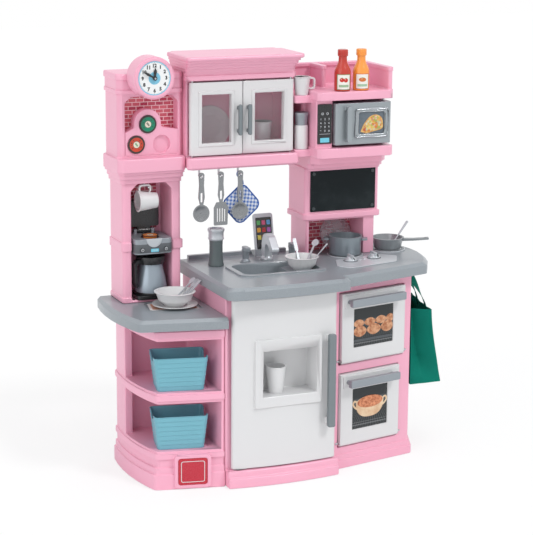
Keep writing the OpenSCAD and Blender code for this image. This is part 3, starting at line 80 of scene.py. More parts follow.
camera = new_object("camera", bpy.data.cameras.new("camera"))
ahead = Vector((math.sin(CAMERA_YAW) * math.cos(CAMERA_DOWN),
                math.cos(CAMERA_YAW) * math.cos(CAMERA_DOWN), -math.sin(CAMERA_DOWN)))
right = Vector((math.cos(CAMERA_YAW), -math.sin(CAMERA_YAW), 0))
up = right.cross(ahead)
camera_up = up * math.cos(CAMERA_ROLL) - right * math.sin(CAMERA_ROLL)
camera_axes = Matrix((ahead.cross(camera_up), camera_up, -ahead)).transposed()
camera.matrix_world = Matrix.Translation(CAMERA_PLACE) @ camera_axes.to_4x4()
camera.data.lens, camera.data.clip_end = LENS_MM, FARTHEST
bpy.context.scene.camera = camera
bpy.context.scene.view_settings.view_transform = "Standard"
print("camera", round(CAMERA_PLACE.length, 2), "m away with a lens of", LENS_MM, "mm")

# %% [markdown]
# ## Shader maths as plain expressions
# A finish is easier to read as a formula than as a web of nodes. `Flow` wraps a socket, so that
# `1 - mask * 0.3` adds the Math nodes itself. `NodeTree` makes any other node from its type, its
# settings and the values or links of its sockets, and `Finish` is the tree of one material.

# %% Flow
class Flow:
    """A value that leaves one shader socket; + - * / and the named steps add Math nodes."""

    def __init__(self, tree, socket):
        self.tree, self.socket = tree, socket

    def _math(self, operation, *values):
        return self.tree.node("ShaderNodeMath", {"operation": operation}, dict(enumerate(values)))

    def __add__(self, other):
        return self._math("ADD", self, other)

    __radd__ = __add__

    def __mul__(self, other):
        return self._math("MULTIPLY", self, other)

    __rmul__ = __mul__

    def __sub__(self, other):
        return self._math("SUBTRACT", self, other)

    def __rsub__(self, other):
        return self._math("SUBTRACT", other, self)

    def __truediv__(self, other):
        return self._math("DIVIDE", self, other)

    def absolute(self):
        return self._math("ABSOLUTE", self)

    def sine(self):
        return self._math("SINE", self)

    def cosine(self):
        return self._math("COSINE", self)

    def fraction(self):
        return self._math("FRACT", self)

    def root(self):
        return self._math("SQRT", self)

    def least(self, other):
        return self._math("MINIMUM", self, other)

    def most(self, other):
        return self._math("MAXIMUM", self, other)

    def step(self, low, high):
        """0 below low, 1 above high, smooth between; low above high turns it round."""
        return self.tree.node("ShaderNodeMapRange", {"interpolation_type": "SMOOTHSTEP"},
                              {"Value": self, "From Min": low, "From Max": high})


print("named steps:", [name for name in vars(Flow) if name[0] != "_"])


# %% NodeTree
class NodeTree:
    """The nodes of a material or of the world."""

    def __init__(self, tree):
        self.nodes, self.links = tree.nodes, tree.links

    def feed(self, socket, value):
        if isinstance(value, Flow):
            self.links.new(value.socket, socket)
        elif socket.type == "RGBA" and len(value) == 3:
            socket.default_value = (*value, 1)
        else:
            socket.default_value = value

    def node(self, kind, settings=None, sockets=None, out=0):
        """Settings come first; a setting called ramp is a colour ramp's stops, (place, colour) each."""
        made = self.nodes.new(kind)
        for key, value in (settings or {}).items():
            if key == "ramp":
                while len(made.color_ramp.elements) < len(value):
                    made.color_ramp.elements.new(0.5)
                for element, (stop, colour) in zip(made.color_ramp.elements, value):
                    element.position, element.color = stop, (*colour, 1)
            else:
                setattr(made, key, value)
        for key, value in (sockets or {}).items():
            self.feed(made.inputs[key], value)
        return Flow(self, made.outputs[out])


def tint(colour, factor):
    """The colour made lighter or darker by a factor."""
    return tuple(min(c * factor, 1.0) for c in colour)


print("white at half:", tint((1, 1, 1), 0.5))


# %% Finish
class Finish(NodeTree):
    """One material: a Principled shader and the nodes that feed it."""

    def __init__(self, name):
        self.material = bpy.data.materials.new(name)
        self.material.use_nodes = True
        super().__init__(self.material.node_tree)
        self.shader = self.nodes["Principled BSDF"]

    def set(self, **sockets):
        """Principled sockets by name, with _ for a space: base_color=..., roughness=..."""
        names = {s.name.lower().replace(" ", "_"): s for s in self.shader.inputs}
        for key, value in sockets.items():
            self.feed(names[key], value)

    def place(self):
        return self.node("ShaderNodeTexCoord", out="Object")

    def split(self, vector):
        made = self.node("ShaderNodeSeparateXYZ", {}, {0: vector}).socket.node
        return [Flow(self, s) for s in made.outputs]

    def across_map(self):
        """u and v of the piece's own UV map."""
        return self.split(self.node("ShaderNodeUVMap"))[:2]

    def scaled(self, vector, factor):
        return self.node("ShaderNodeVectorMath", {"operation": "MULTIPLY"}, {0: vector, 1: factor})

    def noise(self, scale, detail=2.0, roughness=0.5, vector=None):
        return self.node("ShaderNodeTexNoise", {}, {"Vector": vector or self.place(), "Scale": scale,
                                                    "Detail": detail, "Roughness": roughness})

    def mix(self, factor, low, high):
        """Colour that goes from low, at 0, to high, at 1."""
        return self.node("ShaderNodeMix", {"data_type": "RGBA"}, {"Factor": factor, 6: low, 7: high}, out=2)

    def bump(self, height, strength, distance=0.0005):
        self.set(normal=self.node("ShaderNodeBump", {}, {"Height": height, "Strength": strength,
                                                         "Distance": distance}))


print("Principled sockets:", len(Finish("socket_list").shader.inputs))
bpy.data.materials.remove(bpy.data.materials["socket_list"])

# %% [markdown]
# ## Places in the model
# The kitchen's parts are laid out in millimetres, with y counted from the flat back. Each side wing is
# turned by 12 degrees, and the bag hangs in a turned frame of its own. A frame here can be called like
# a function that turns an array of points into metres, so that a piece can be worked out square and
# then placed. Its `back` undoes that, for maps and measures.

# %% Frames
MM, BACK_PLANE = 1000, 200


class Frame:
    """A place turned about the upright: x' = x cos a - y sin a, y' = x sin a + y cos a."""

    def __init__(self, origin, degrees):
        c, s = math.cos(math.radians(degrees)), math.sin(math.radians(degrees))
        self.turn = np.array(((c, s, 0), (-s, c, 0), (0, 0, 1)))
        self.origin = np.array((origin[0], origin[1] + BACK_PLANE, 0))

    def __call__(self, points):
        return (np.asarray(points, float) @ self.turn + self.origin) / MM

    def back(self, points):
        return (np.asarray(points, float) * MM - self.origin) @ self.turn.T


straight = Frame((0, 0), 0)
left_wing, right_wing = Frame((-183, -345), -12), Frame((193, -330), 12)
bag_frame = Frame((463, -250), -11.8)


def box_mm(node):
    """A node's lowest and highest corners in the straight frame, in millimetres."""
    return straight.back(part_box(node))


print("clock housing:", np.round(box_mm("clock_housing"), 1).tolist())

# %% [markdown]
# ## Pieces
# A piece is a mesh with a finish that moves with one body of the kitchen. Its place is in its mesh and
# its object stays at the origin, so that a pattern on object coordinates keeps its place.

# %% Read a mesh and add a piece
def read(items, what, width=3, kind=float):
    """One property of all vertices, corners or faces of a mesh, as an array of that width."""
    flat = np.zeros(len(items) * width, kind)
    items.foreach_get(what, flat)
    return flat.reshape(-1, width)


def add_piece(name, mesh, finish, body, slot, *nodes):
    """Adds a mesh that is in metres already, with its finish, body and the nodes it stands for. The slot is
    not used.
    """
    piece = new_object(name, mesh)
    piece.data.materials.clear()
    piece.data.materials.append(finish.material)
    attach(piece, body)
    if nodes:
        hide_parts(*nodes)
    return piece


print("points of the faucet:", len(read(frame["nodes"]["faucet"].data.vertices, "co")))

# %% [markdown]
# ## Surfaces from formulas
# A turned pot, a tube or a sagging cloth is a grid of points that depends on two parameters. `skin`
# takes such a grid as one array and makes the faces between neighbours. Where the grid meets itself,
# its doubles are merged, so a seam or a pole is closed, and the faces are turned to point outwards.

# %% Grids to meshes
def grid_faces(rows, columns, start=0):
    """Four-sided faces between neighbours of a grid that is numbered row by row."""
    i = np.arange(rows - 1)[:, None] * columns + np.arange(columns - 1)[None, :] + start
    return np.stack((i, i + 1, i + columns + 1, i + columns), axis=-1).reshape(-1, 4)


def skin(name, grids, frame_of=straight, merge=0.02, angle=40):
    """One mesh from one or more (rows, columns, 3) grids in millimetres, merged and facing outwards.
    Edges that bend by more than the angle stay sharp."""
    points, faces, start = [], [], 0
    for grid in [grids] if isinstance(grids, np.ndarray) else grids:
        points.append(grid.reshape(-1, 3))
        faces.append(grid_faces(grid.shape[0], grid.shape[1], start))
        start += grid.shape[0] * grid.shape[1]
    mesh = bpy.data.meshes.new(name)
    mesh.from_pydata(frame_of(np.concatenate(points)).tolist(), [], np.concatenate(faces).tolist())
    work = bmesh.new()
    work.from_mesh(mesh)
    bmesh.ops.remove_doubles(work, verts=work.verts, dist=merge / MM)
    bmesh.ops.dissolve_degenerate(work, dist=1e-6, edges=work.edges)
    bmesh.ops.recalc_face_normals(work, faces=work.faces)
    work.to_mesh(mesh)
    work.free()
    mesh.shade_smooth()
    mesh.set_sharp_from_angle(angle=math.radians(angle))
    return mesh


def add_skin(name, grids, finish, slot, *nodes, body="kitchen", frame_of=straight, angle=40):
    """A piece straight from its grids."""
    return add_piece(name, skin(name, grids, frame_of, angle=angle), finish, body, slot, *nodes)


def add_map(mesh, uv):
    """UV layer from one (u, v) for each vertex."""
    corners = read(mesh.loops, "vertex_index", 1, int)[:, 0]
    mesh.uv_layers.new(name="UVMap").data.foreach_set("uv", uv[corners].ravel())


print("a grid of 3 by 4 points has", len(grid_faces(3, 4)), "faces")

# %% [markdown]
# ## Curves
# A rim, a seam or a wire needs few points to say where it goes and many to look smooth. Catmull-Rom's
# cubic passes through every given point, and points spread evenly along it make even faces.

# %% Lines and curves
def lengths_along(points):
    """Distance from the start of a line to each of its points."""
    return np.concatenate(([0], np.cumsum(np.linalg.norm(np.diff(points, axis=0), axis=1))))


def points_at(line, at, along):
    """Points of a line at given distances, where along holds the distance of each of its own."""
    return np.stack([np.interp(at, along, line[:, k]) for k in range(line.shape[1])], axis=1)


def curve_through(points, count):
    """Points spread evenly along a smooth curve through the given ones, by Catmull-Rom's cubic."""
    p = np.asarray(points, float)
    p = np.vstack((2 * p[0] - p[1], p, 2 * p[-1] - p[-2]))
    t = np.linspace(0, len(p) - 3 - 1e-9, count * 4)
    i, f = t.astype(int), (t % 1)[:, None]
    a, b, c, d = p[i], p[i + 1], p[i + 2], p[i + 3]
    line = 0.5 * (2 * b + (c - a) * f + (2 * a - 5 * b + 4 * c - d) * f ** 2
                  + (3 * b - a - 3 * c + d) * f ** 3)
    along = lengths_along(line)
    return points_at(line, np.linspace(0, along[-1], count), along)


def closed(points):
    """The points with the first one once more at the end."""
    return np.vstack((points, points[:1]))


def loop_through(points, count):
    """A curve through a closed line of points, which ends exactly where it starts."""
    line = curve_through(points, count)
    line[-1] = line[0]
    return line


print("a hump:", np.round(curve_through([(0, 0), (1, 1), (2, 0)], 5), 2).tolist())

# %% [markdown]
# ## Turned shapes and tubes
# A lathe turns a profile about an axis, which suits bottles, cups and rings. A tube carries a circle
# along a path instead, which suits wires, piping and handles.

# %% Lathe and tube
def lathe(profile, centre, turns=48, axis="z"):
    """Turned surface: each (radius, height) of the profile goes round the axis through centre."""
    r, h = np.asarray(profile, float).T
    a = np.linspace(0, 2 * math.pi, turns + 1)
    ring = np.stack((r[:, None] * np.cos(a), r[:, None] * np.sin(a), h[:, None] + 0 * a), axis=-1)
    if axis == "y":
        ring = ring[..., [0, 2, 1]]
    return ring + np.asarray(centre, float)


def washer(radius, start, end, inner=0.0):
    """Profile for a disc, or with an inner radius a ring, between two heights on its axis."""
    outline = [(inner, start), (radius, start), (radius, end), (inner, end)]
    return outline + outline[:1] if inner else outline


def tube(path, radius, sides=14, upward=(0, 0, 1), flat=1.0, ends=True):
    """Tube along a path: a circle of the radius, times flat across, in the plane square to the path.
    Both ends close on their centres."""
    path = np.asarray(path, float)
    radius = np.broadcast_to(np.asarray(radius, float), (len(path),))
    if ends:
        path = np.vstack((path[:1], path, path[-1:]))
        radius = np.concatenate(([0], radius, [0]))
    way = np.gradient(path, axis=0)
    way[0], way[-1] = path[2] - path[1], path[-2] - path[-3]
    way /= np.linalg.norm(way, axis=1, keepdims=True)
    side = np.cross(way, upward)
    side /= np.linalg.norm(side, axis=1, keepdims=True)
    over = np.cross(side, way)
    a = np.linspace(0, 2 * math.pi, sides + 1)[None, :, None]
    r = radius[:, None, None]
    return path[:, None, :] + r * (np.cos(a) * side[:, None, :] * flat + np.sin(a) * over[:, None, :])


def hoop(path, radius):
    """Tube of ten sides round a closed path that lies upright; its last ring is its first."""
    rings = tube(path, radius, 10, (0, 1, 0), ends=False)
    rings[-1] = rings[0]
    return rings


print("a straight tube:", tube(((0, 0, 0), (1, 0, 0), (2, 0, 0)), 1.0, 8).shape)

# %% [markdown]
# ## Plates
# Windows, badges and keys are slabs with round corners and a soft front edge. Their outline is drawn in
# (x, z), because they all face the front, and rings of it are stacked from the back to the front.

# %% Outlines and plates
def rounded_ring(x0, x1, z0, z1, radius, steps=6):
    """Outline of a rectangle with round corners, closed, as (n, 2) points."""
    a = np.linspace(0, math.pi / 2, steps + 1)
    centres = ((x1 - radius, z1 - radius), (x0 + radius, z1 - radius),
               (x0 + radius, z0 + radius), (x1 - radius, z0 + radius))
    return closed(np.concatenate([
        np.stack((c[0] + radius * np.cos(a + k * math.pi / 2),
                  c[1] + radius * np.sin(a + k * math.pi / 2)), axis=1)
        for k, c in enumerate(centres)]))


def upright(outline, y):
    """An (x, z) outline stood up at one y."""
    return np.stack((outline[:, 0], np.full(len(outline), y), outline[:, 1]), axis=1)


def plaque(outline, y_back, y_front, edge=0.6, crown=0.0):
    """Slab with a rounded front edge: rings of the outline run from the back to the front, draw in by
    edge over a quarter turn, and close on the middle, which may stand proud by crown."""
    flat = np.asarray(outline, float)
    middle = (flat[:-1].min(0) + flat[:-1].max(0)) / 2
    reach = np.abs(flat - middle).max(0)
    bend = np.linspace(0, math.pi / 2, 4)
    rows = [(0, y_back, 0), (1, y_back, 0)]
    rows += [(1, y_front + edge * (1 - math.sin(b)), edge * (1 - math.cos(b))) for b in bend]
    rows += [(s, y_front - crown * (1 - s * s), edge) for s in (0.75, 0.5, 0.25, 0)]
    return np.array([upright(middle + (flat - middle) * share * (1 - inset / reach), y)
                     for share, y, inset in rows])


def plate(sides, corner, y_back, y_front, edge, steps=6):
    """A plaque over the rectangle (x0, x1, z0, z1) with round corners."""
    return plaque(rounded_ring(*sides, corner, steps), y_back, y_front, edge)


print("a test ring has", len(rounded_ring(0, 10, 0, 10, 2)), "points")

# %% [markdown]
# ## The pink plastic
# The big shells are roto-moulded: powder melts against a hot mould, so the skin is dull, slightly
# mottled in colour and finely dimpled, and every edge is soft. Two noises do this. A large one drifts
# the pink, and a small one makes the dimples and breaks up the gloss. Silver plastics have metal flakes
# in them, so they get finer dimples and behave partly as metal.

# %% Moulded plastics
def moulded(name, colour, rough=0.42, drift=0.05, dimple=0.1, size=420, coat=0.0, metal=0.0):
    """Dull moulded plastic: the colour drifts by a share, and fine dimples break the gloss."""
    finish = Finish(name)
    broad = finish.noise(9, 3)
    fine = finish.noise(size, 2, 0.6)
    finish.set(base_color=finish.mix(broad, tint(colour, 1 - drift), tint(colour, 1 + drift)),
               roughness=rough - 0.04 + fine * 0.08 + broad * 0.04, coat_weight=coat,
               coat_roughness=0.12, metallic=metal)
    finish.bump(fine, dimple)
    return finish


def flaked(name, colour, rough=0.3, drift=0.05, metal=0.45, dimple=0.05):
    """Silver plastic: the moulded recipe with the fine grain and the shine of its metal flakes."""
    return moulded(name, colour, rough, drift, dimple, size=900, metal=metal)


pink = moulded("pink_plastic", (0.86, 0.412, 0.543), 0.36, 0.03, size=300, coat=0.12)
white = moulded("white_plastic", (0.69, 0.69, 0.695), 0.28, 0.01, 0.04, coat=0.25)
silver = flaked("silver_plastic", (0.29, 0.32, 0.35), 0.36, 0.04, 0.35)
mid_grey = flaked("mid_grey_plastic", (0.19, 0.22, 0.235), 0.34, 0.04, 0.2)
pale_silver = flaked("pale_silver_plastic", (0.5, 0.53, 0.56), 0.34, 0.03, 0.3)
dark_grey = moulded("dark_grey_plastic", (0.09, 0.1, 0.11), 0.4)
black = moulded("black_plastic", (0.014, 0.015, 0.017), 0.26, 0.1, 0.01, coat=0.1)
screw_grey = moulded("screw_grey", (0.05, 0.06, 0.065), 0.3, 0.1, 0.03, metal=0.4)
utensil_grey = flaked("utensil_silver", (0.25, 0.26, 0.27), 0.24, metal=0.75, dimple=0.04)
carafe_blue = flaked("blue_silver_plastic", (0.30, 0.35, 0.40), metal=0.5)
blue = moulded("blue_plastic", (0.165, 0.43, 0.515), 0.4, 0.04, 0.08)
print("moulded finishes:", len(bpy.data.materials))

# %% [markdown]
# ## The worktop
# The worktops are cast in grey plastic with fine grains that are only a little darker or lighter.
# Cells of a Voronoi pattern make good grains: each has a colour of its own, and only those whose own
# number is high or low enough are let through.

# %% Speckled worktop
def granite(name, colour):
    """Grey ground with slightly darker and paler grains of about 1 mm, and a soft large drift."""
    finish = Finish(name)
    cells = finish.node("ShaderNodeTexVoronoi", {"feature": "F1"},
                        {"Vector": finish.place(), "Scale": 900}, out="Color")
    number = finish.split(cells)[0]
    drift = finish.noise(10, 4, 0.6)
    ground = finish.mix(drift, tint(colour, 0.94), tint(colour, 1.06))
    dark = finish.mix(number.step(0.90, 0.96) * 0.3, ground, tint(colour, 0.55))
    finish.set(base_color=finish.mix(number.step(0.10, 0.04) * 0.3, dark, tint(colour, 1.35)),
               roughness=0.28 + drift * 0.1, coat_weight=0.2)
    finish.bump(finish.noise(500), 0.06)
    return finish


worktop = granite("speckled_worktop", (0.27, 0.30, 0.325))
print("worktop grains:", worktop.material.name)

# %% [markdown]
# ## Metal, glass and film
# Hooks and hinge pins are bare steel with fine level scratches, so their noise is squeezed upright.
# The panes are thin clear plastic: alpha is cheap, lets light through to the shelf behind, and smudges
# in it are what tells the eye that something is there.

# %% Metal, panes and film
def brushed(name, colour, stretch=(30, 30, 900), rough=0.3, metal=1.0):
    """Metal with fine scratches: noise squeezed by a factor along each axis feeds roughness and bump."""
    finish = Finish(name)
    scratch = finish.noise(1, 2, 0.6, finish.scaled(finish.place(), stretch))
    finish.set(base_color=finish.mix(scratch, tint(colour, 0.88), tint(colour, 1.08)),
               metallic=metal, roughness=rough - 0.06 + scratch * 0.14)
    finish.bump(scratch, 0.06, 0.0004)
    return finish


def see_through(name, colour, low, high, rough):
    """Clear plastic: alpha between two levels, where smudges make it a little less clear."""
    finish = Finish(name)
    smudge = finish.noise(26, 4, 0.65)
    finish.set(base_color=finish.mix(smudge, tint(colour, 0.96), colour),
               roughness=rough + smudge * 0.08, alpha=low + smudge * (high - low))
    return finish


steel = brushed("steel", (0.55, 0.56, 0.58))
panel_silver = brushed("silver_panel", (0.60, 0.63, 0.66), (400, 12, 400), 0.34, 0.3)
pane = see_through("clear_pane", (0.82, 0.84, 0.86), 0.03, 0.10, 0.04)
lid_clear = see_through("clear_lid", (0.80, 0.84, 0.88), 0.20, 0.40, 0.05)
print("finishes so far:", [m.name for m in bpy.data.materials])

# %% [markdown]
# ## Softened shells
# The frame's solids have the right shape but knife-sharp edges. A moulded edge is round, and that
# thin line of light along it is what makes plastic look like plastic. Moving the frame's own mesh is
# not allowed, so each solid is copied, its loose triangles are merged and flat neighbours are joined.
# A Bevel modifier then rounds the sharp edges. It would shrink every bevel to what the tightest corner
# allows, so each edge first gets a weight from the room that it has itself.

# %% Copy, merge and round
SHARP_EDGE, FLAT_ENOUGH = math.radians(32), math.radians(1.5)
SAME_POINT, SLIVER = 2e-5, 1e-5  # metres
LEAST_ROOM, ENDLESS = 0.3, 100.0  # millimetres
NO_BEND, FULL_BEND, RUNS_BACK = 0.05, 1, -0.3


def room_on(face):
    """Width that a bevel may take beside each edge of a face: a bit less than half the way to any edge
    that runs back the other way, and than half the radius of the bend that the edge is part of."""
    p = np.array([loop.vert.co for loop in face.loops])
    way = np.roll(p, -1, axis=0) - p
    length = np.linalg.norm(way, axis=1)
    unit = way / length[:, None]
    stops = p[:, None] + way[:, None] * np.array((0.02, 0.5, 0.98))[:, None]
    apart = stops[:, :, None] - p
    share = np.clip((apart * way).sum(-1) / length ** 2, 0, 1)
    gap = np.linalg.norm(apart - share[..., None] * way, axis=-1)
    gap = np.where((unit @ unit.T > RUNS_BACK)[:, None], 1.0, gap).min((1, 2))
    bend = np.arccos(np.clip((unit * np.roll(unit, -1, axis=0)).sum(1), -1, 1))
    radius = np.where((bend > NO_BEND) & (bend < FULL_BEND),
                      (length + np.roll(length, -1)) / 2 / np.tan(bend / 2 + 1e-9), 1.0)
    return np.minimum(0.45 * gap, 0.9 * np.minimum(radius, np.roll(radius, 1)) / 2)


def soften(node, finish, radius=0.0):
    """A copy of a node's mesh with merged points, flat faces joined, and edges rounded by radius in mm."""
    mesh = frame["nodes"][node].data.copy()
    mesh.name = node + "_shell"
    work = bmesh.new()
    work.from_mesh(mesh)
    bmesh.ops.remove_doubles(work, verts=work.verts, dist=SAME_POINT)
    bmesh.ops.dissolve_degenerate(work, dist=SLIVER, edges=work.edges)
    bmesh.ops.dissolve_limit(work, angle_limit=FLAT_ENOUGH, verts=work.verts, edges=work.edges)
    weight = work.edges.layers.float.new("bevel_weight_edge")
    room = {}
    for face in work.faces:
        face.smooth = True
        if radius:
            for loop, width in zip(face.loops, room_on(face)):
                room[loop.edge] = min(room.get(loop.edge, ENDLESS), width * MM)
    for edge in work.edges:
        sharp = edge.is_manifold and edge.calc_face_angle(0) > SHARP_EDGE
        edge[weight] = min(1.0, room[edge] / radius) if sharp and room.get(edge, 0) > LEAST_ROOM else 0.0
        edge.smooth = not sharp or edge[weight] > 0
    work.to_mesh(mesh)
    work.free()
    piece = add_piece(mesh.name, mesh, finish, body_of_node[node], slot_of_node[node], node)
    if radius:
        rounding = piece.modifiers.new("edges", "BEVEL")
        rounding.width, rounding.segments, rounding.limit_method = radius / MM, 2, "WEIGHT"
        rounding.use_clamp_overlap = False
        flatten = piece.modifiers.new("flat faces stay flat", "WEIGHTED_NORMAL")
        flatten.weight, flatten.keep_sharp = 100, True
    return piece


def soften_all(rows):
    """Softens every node that the rows name: each row is (finish, radius in mm, node names)."""
    return [soften(node, finish, radius) for finish, radius, nodes in rows for node in nodes.split()]


# %% Round the shells
big = soften_all((
    (pink, 5, "centre_base left_tower wall_cupboard"), (pink, 2.5, "left_base right_base right_tower"),
    (worktop, 0, "left_counter"), (worktop, 1, "main_counter"),
    (white, 2.5, "fridge_door upper_oven_door lower_oven_door"),
    (white, 1.5, "left_cupboard_door right_cupboard_door"),
    (pink, 2, "clock_housing"), (pink, 1, "pod_holder")))
print("softened shells:", len(big))

# %% [markdown]
# ## Small moulded parts
# The smaller solids are treated the same way, with smaller radii. Their finish is what tells them
# apart: grey handles, a pale silver faucet and knobs, black lids, hands and buttons, steel hooks and
# hinge pins, and clear panes. The thinnest ones have no room for rounding, so their radius is 0.

# %% Finish the small parts
small = soften_all((
    (silver, 2, "upper_oven_handle lower_oven_handle"),
    (mid_grey, 2, "fridge_handle left_cupboard_handle right_cupboard_handle"),
    (pale_silver, 2, "faucet"), (silver, 0.8, "left_tap right_tap"),
    (pale_silver, 0.8, "left_hob_knob right_hob_knob"), (white, 0.6, "dispenser_cup crockery"),
    (black, 1, "coffee_lid carafe_handle"),
    (black, 0, "minute_hand hour_hand left_coffee_button right_coffee_button"),
    (pale_silver, 0, "cutlery"), (utensil_grey, 0, "hanging_utensils"), (steel, 0, "hinge_pins hooks"),
    (screw_grey, 0, "fasteners"), (panel_silver, 0.6, "hob_panel"), (lid_clear, 0, "pot_lid"),
    (pale_silver, 1, "phone"), (pane, 0, "left_cupboard_pane right_cupboard_pane")))
print("small parts:", len(small))

# %% [markdown]
# ## Brick print
# Behind the coffee nook, the pod shelf and the hob, and beside the microwave, there are printed brick
# panels. The Brick Texture lays the rows out in the plane of the panel, so x and z of the object go in
# as its two directions. A noise fades the ink, as on a printed foil.

# %% Brick panels
BRICK_LENGTH, BRICK_ROW, JOINT = 0.0235, 0.0112, 0.0011
bricks = Finish("brick_print")
x, _, z = bricks.split(bricks.place())
laid = {"Vector": bricks.node("ShaderNodeCombineXYZ", {}, {0: x, 1: z}), "Scale": 1.0,
        "Mortar Size": JOINT, "Mortar Smooth": 0.3, "Brick Width": BRICK_LENGTH, "Row Height": BRICK_ROW}
wall = bricks.node("ShaderNodeTexBrick", {"offset": 0.5}, {
    **laid, "Color1": (0.42, 0.02, 0.07), "Color2": (0.72, 0.16, 0.20), "Mortar": (0.92, 0.72, 0.74),
    "Bias": -0.1})
joints = bricks.node("ShaderNodeTexBrick", {"offset": 0.5}, laid, out=1)
faded = bricks.noise(160, 4, 0.7)
bricks.set(base_color=bricks.mix(faded.step(0.52, 0.72) * 0.4, wall, (0.78, 0.36, 0.43)),
           roughness=0.4 + faded * 0.15)
bricks.bump(1 - joints, 0.15, 0.0004)
brick_shell = soften("brick_panels", bricks)
print("bricks are", BRICK_LENGTH * MM, "by", BRICK_ROW * MM, "mm on", brick_shell.name)

# %% [markdown]
# ## Printed dials and numbers
# Numbers on a clock or a keypad are flat ink. A text object is turned into a mesh, laid on its plane
# with a thickness of a few tenths of a millimetre, and all the marks of one dial become one piece.

# %% Ink marks
ink = moulded("black_ink", (0.012, 0.012, 0.014), 0.5, dimple=0.02)
pale_ink = moulded("pale_ink", (0.62, 0.65, 0.68), 0.5, dimple=0.02)
sky_ink = moulded("sky_blue_ink", (0.20, 0.52, 0.70), 0.45, dimple=0.02)
INK_THICK = 0.25


def lettering(name, marks, plane, finish, slot, weight=0.0):
    """Numbers as one piece: marks are (text, size, x, z) in mm on the plane y = plane, facing -y.
    Weight swells the strokes by that share of the size."""
    points, faces, start = [], [], 0
    for text, size, x, z in marks:
        curve = bpy.data.curves.new("mark", "FONT")
        curve.body, curve.size, curve.extrude = text, size, INK_THICK / 2
        curve.resolution_u, curve.offset = 2, size * weight
        curve.align_x, curve.align_y = "CENTER", "CENTER"
        holder = bpy.data.objects.new("mark", curve)
        mesh = bpy.data.meshes.new_from_object(holder)
        flat = read(mesh.vertices, "co")
        points.append(np.stack((flat[:, 0] + x, plane - flat[:, 2], flat[:, 1] + z), axis=1))
        faces += [[v + start for v in face.vertices] for face in mesh.polygons]
        start += len(flat)
        bpy.data.objects.remove(holder)
        bpy.data.meshes.remove(mesh)
        bpy.data.curves.remove(curve)
    mesh = bpy.data.meshes.new(name)
    mesh.from_pydata(straight(np.concatenate(points)).tolist(), [], faces)
    return add_piece(name, mesh, finish, "kitchen", slot)


def disc(centre, radius, y_back, y_front, turns=48, inner=0.0):
    """Flat disc or ring that faces -y, about an (x, z) centre."""
    return lathe(washer(radius, y_back, y_front, inner), (centre[0], 0, centre[1]), turns, "y")


print("ink finishes:", [finish.material.name for finish in (ink, pale_ink, sky_ink)])

# %% [markdown]
# ## The clock
# Its dial is a white card with a blue ring, a blue hub, twelve numbers and sixty ticks. They are all
# laid out by their angle from the top, so one function gives every place.

# %% Clock face
CLOCK_X, CLOCK_Z, DIAL_Y = -334, 1166, -193.0
HOUR_SIZE, HOUR_CIRCLE, MINUTE_CIRCLE = 13.5, 35.0, 43


def on_dial(share, radius):
    """The (x, z) place at a share of a full turn from the top."""
    a = share * 2 * math.pi
    return CLOCK_X + radius * math.sin(a), CLOCK_Z + radius * math.cos(a)


soften("clock_face", moulded("dial_paper", (0.84, 0.85, 0.85), 0.4, 0.01, 0.03))
rings = (("dial_ring", 47.6, 44.8, 0.3, 64), ("dial_hub", 17.5, 0.0, 0.25, 48))
for name, radius, inner, proud, turns in rings:
    add_skin(name, disc((CLOCK_X, CLOCK_Z), radius, DIAL_Y + 0.3, DIAL_Y - proud, turns, inner),
             sky_ink, "blue")
hours = [(str(h), HOUR_SIZE, *on_dial(h / 12, HOUR_CIRCLE)) for h in range(1, 13)]
lettering("dial_numbers", hours, DIAL_Y - 0.15, ink, "black", weight=0.05)
ticks = [disc(on_dial(m / 60, MINUTE_CIRCLE), 0.45 if m % 5 else 0.9, DIAL_Y + 0.2, DIAL_Y - 0.25, 10)
         for m in range(60)]
add_skin("dial_ticks", ticks, ink, "black")
print("clock marks:", len(hours), "numbers and", len(ticks), "ticks")

# %% [markdown]
# ## Coffee pods
# Each pod is a small cup with a foil lid, printed with a ring of colour round a pale centre. The print
# depends only on the distance and the angle from the pod's own centre, so it is written as maths on
# the object's coordinates. Short dark dashes stand where a maker would put words.

# %% Pods
DARK_FOIL, PALE_FOIL = (0.03, 0.025, 0.02), (0.74, 0.69, 0.56)


def pod_print(name, centre, across, ring, centre_ink):
    """Foil print: r and the angle round the centre choose dark rim, coloured ring, dashes or centre.
    The centre is in mm, and across tells which two axes lie in the lid."""
    finish = Finish(name)
    axes = finish.split(finish.place())
    a, b = ((axes[axis] - middle / MM) * MM for axis, middle in zip(across, centre))
    r = (a * a + b * b).root()
    angle = finish.node("ShaderNodeMath", {"operation": "ARCTAN2"}, {0: b, 1: a})
    ring_mask = r.step(10.2, 10.8) * r.step(20.8, 20.2)
    dashes = (angle * 9.5).sine().step(0.0, 0.3) * r.step(13.6, 14.2) * r.step(17.4, 16.8)
    dashes = dashes * angle.cosine().absolute().step(0.35, 0.5)
    along, over = (a * 0.8 + b * 0.6).absolute(), (a * 0.6 - b * 0.8).absolute()
    bean = along.step(2.6, 1.9) * over.step(6.2, 5.4) * (1 - along.step(0.7, 0.3) * 0.8)
    colour = finish.mix(ring_mask, DARK_FOIL, ring)
    colour = finish.mix(dashes * 0.75, colour, DARK_FOIL)
    colour = finish.mix(r.step(9.6, 9.1), colour, PALE_FOIL)
    crinkle = finish.noise(500, 3, 0.6)
    finish.set(base_color=finish.mix(bean, colour, centre_ink), roughness=0.28 + crinkle * 0.15)
    finish.bump(crinkle, 0.12)
    return finish


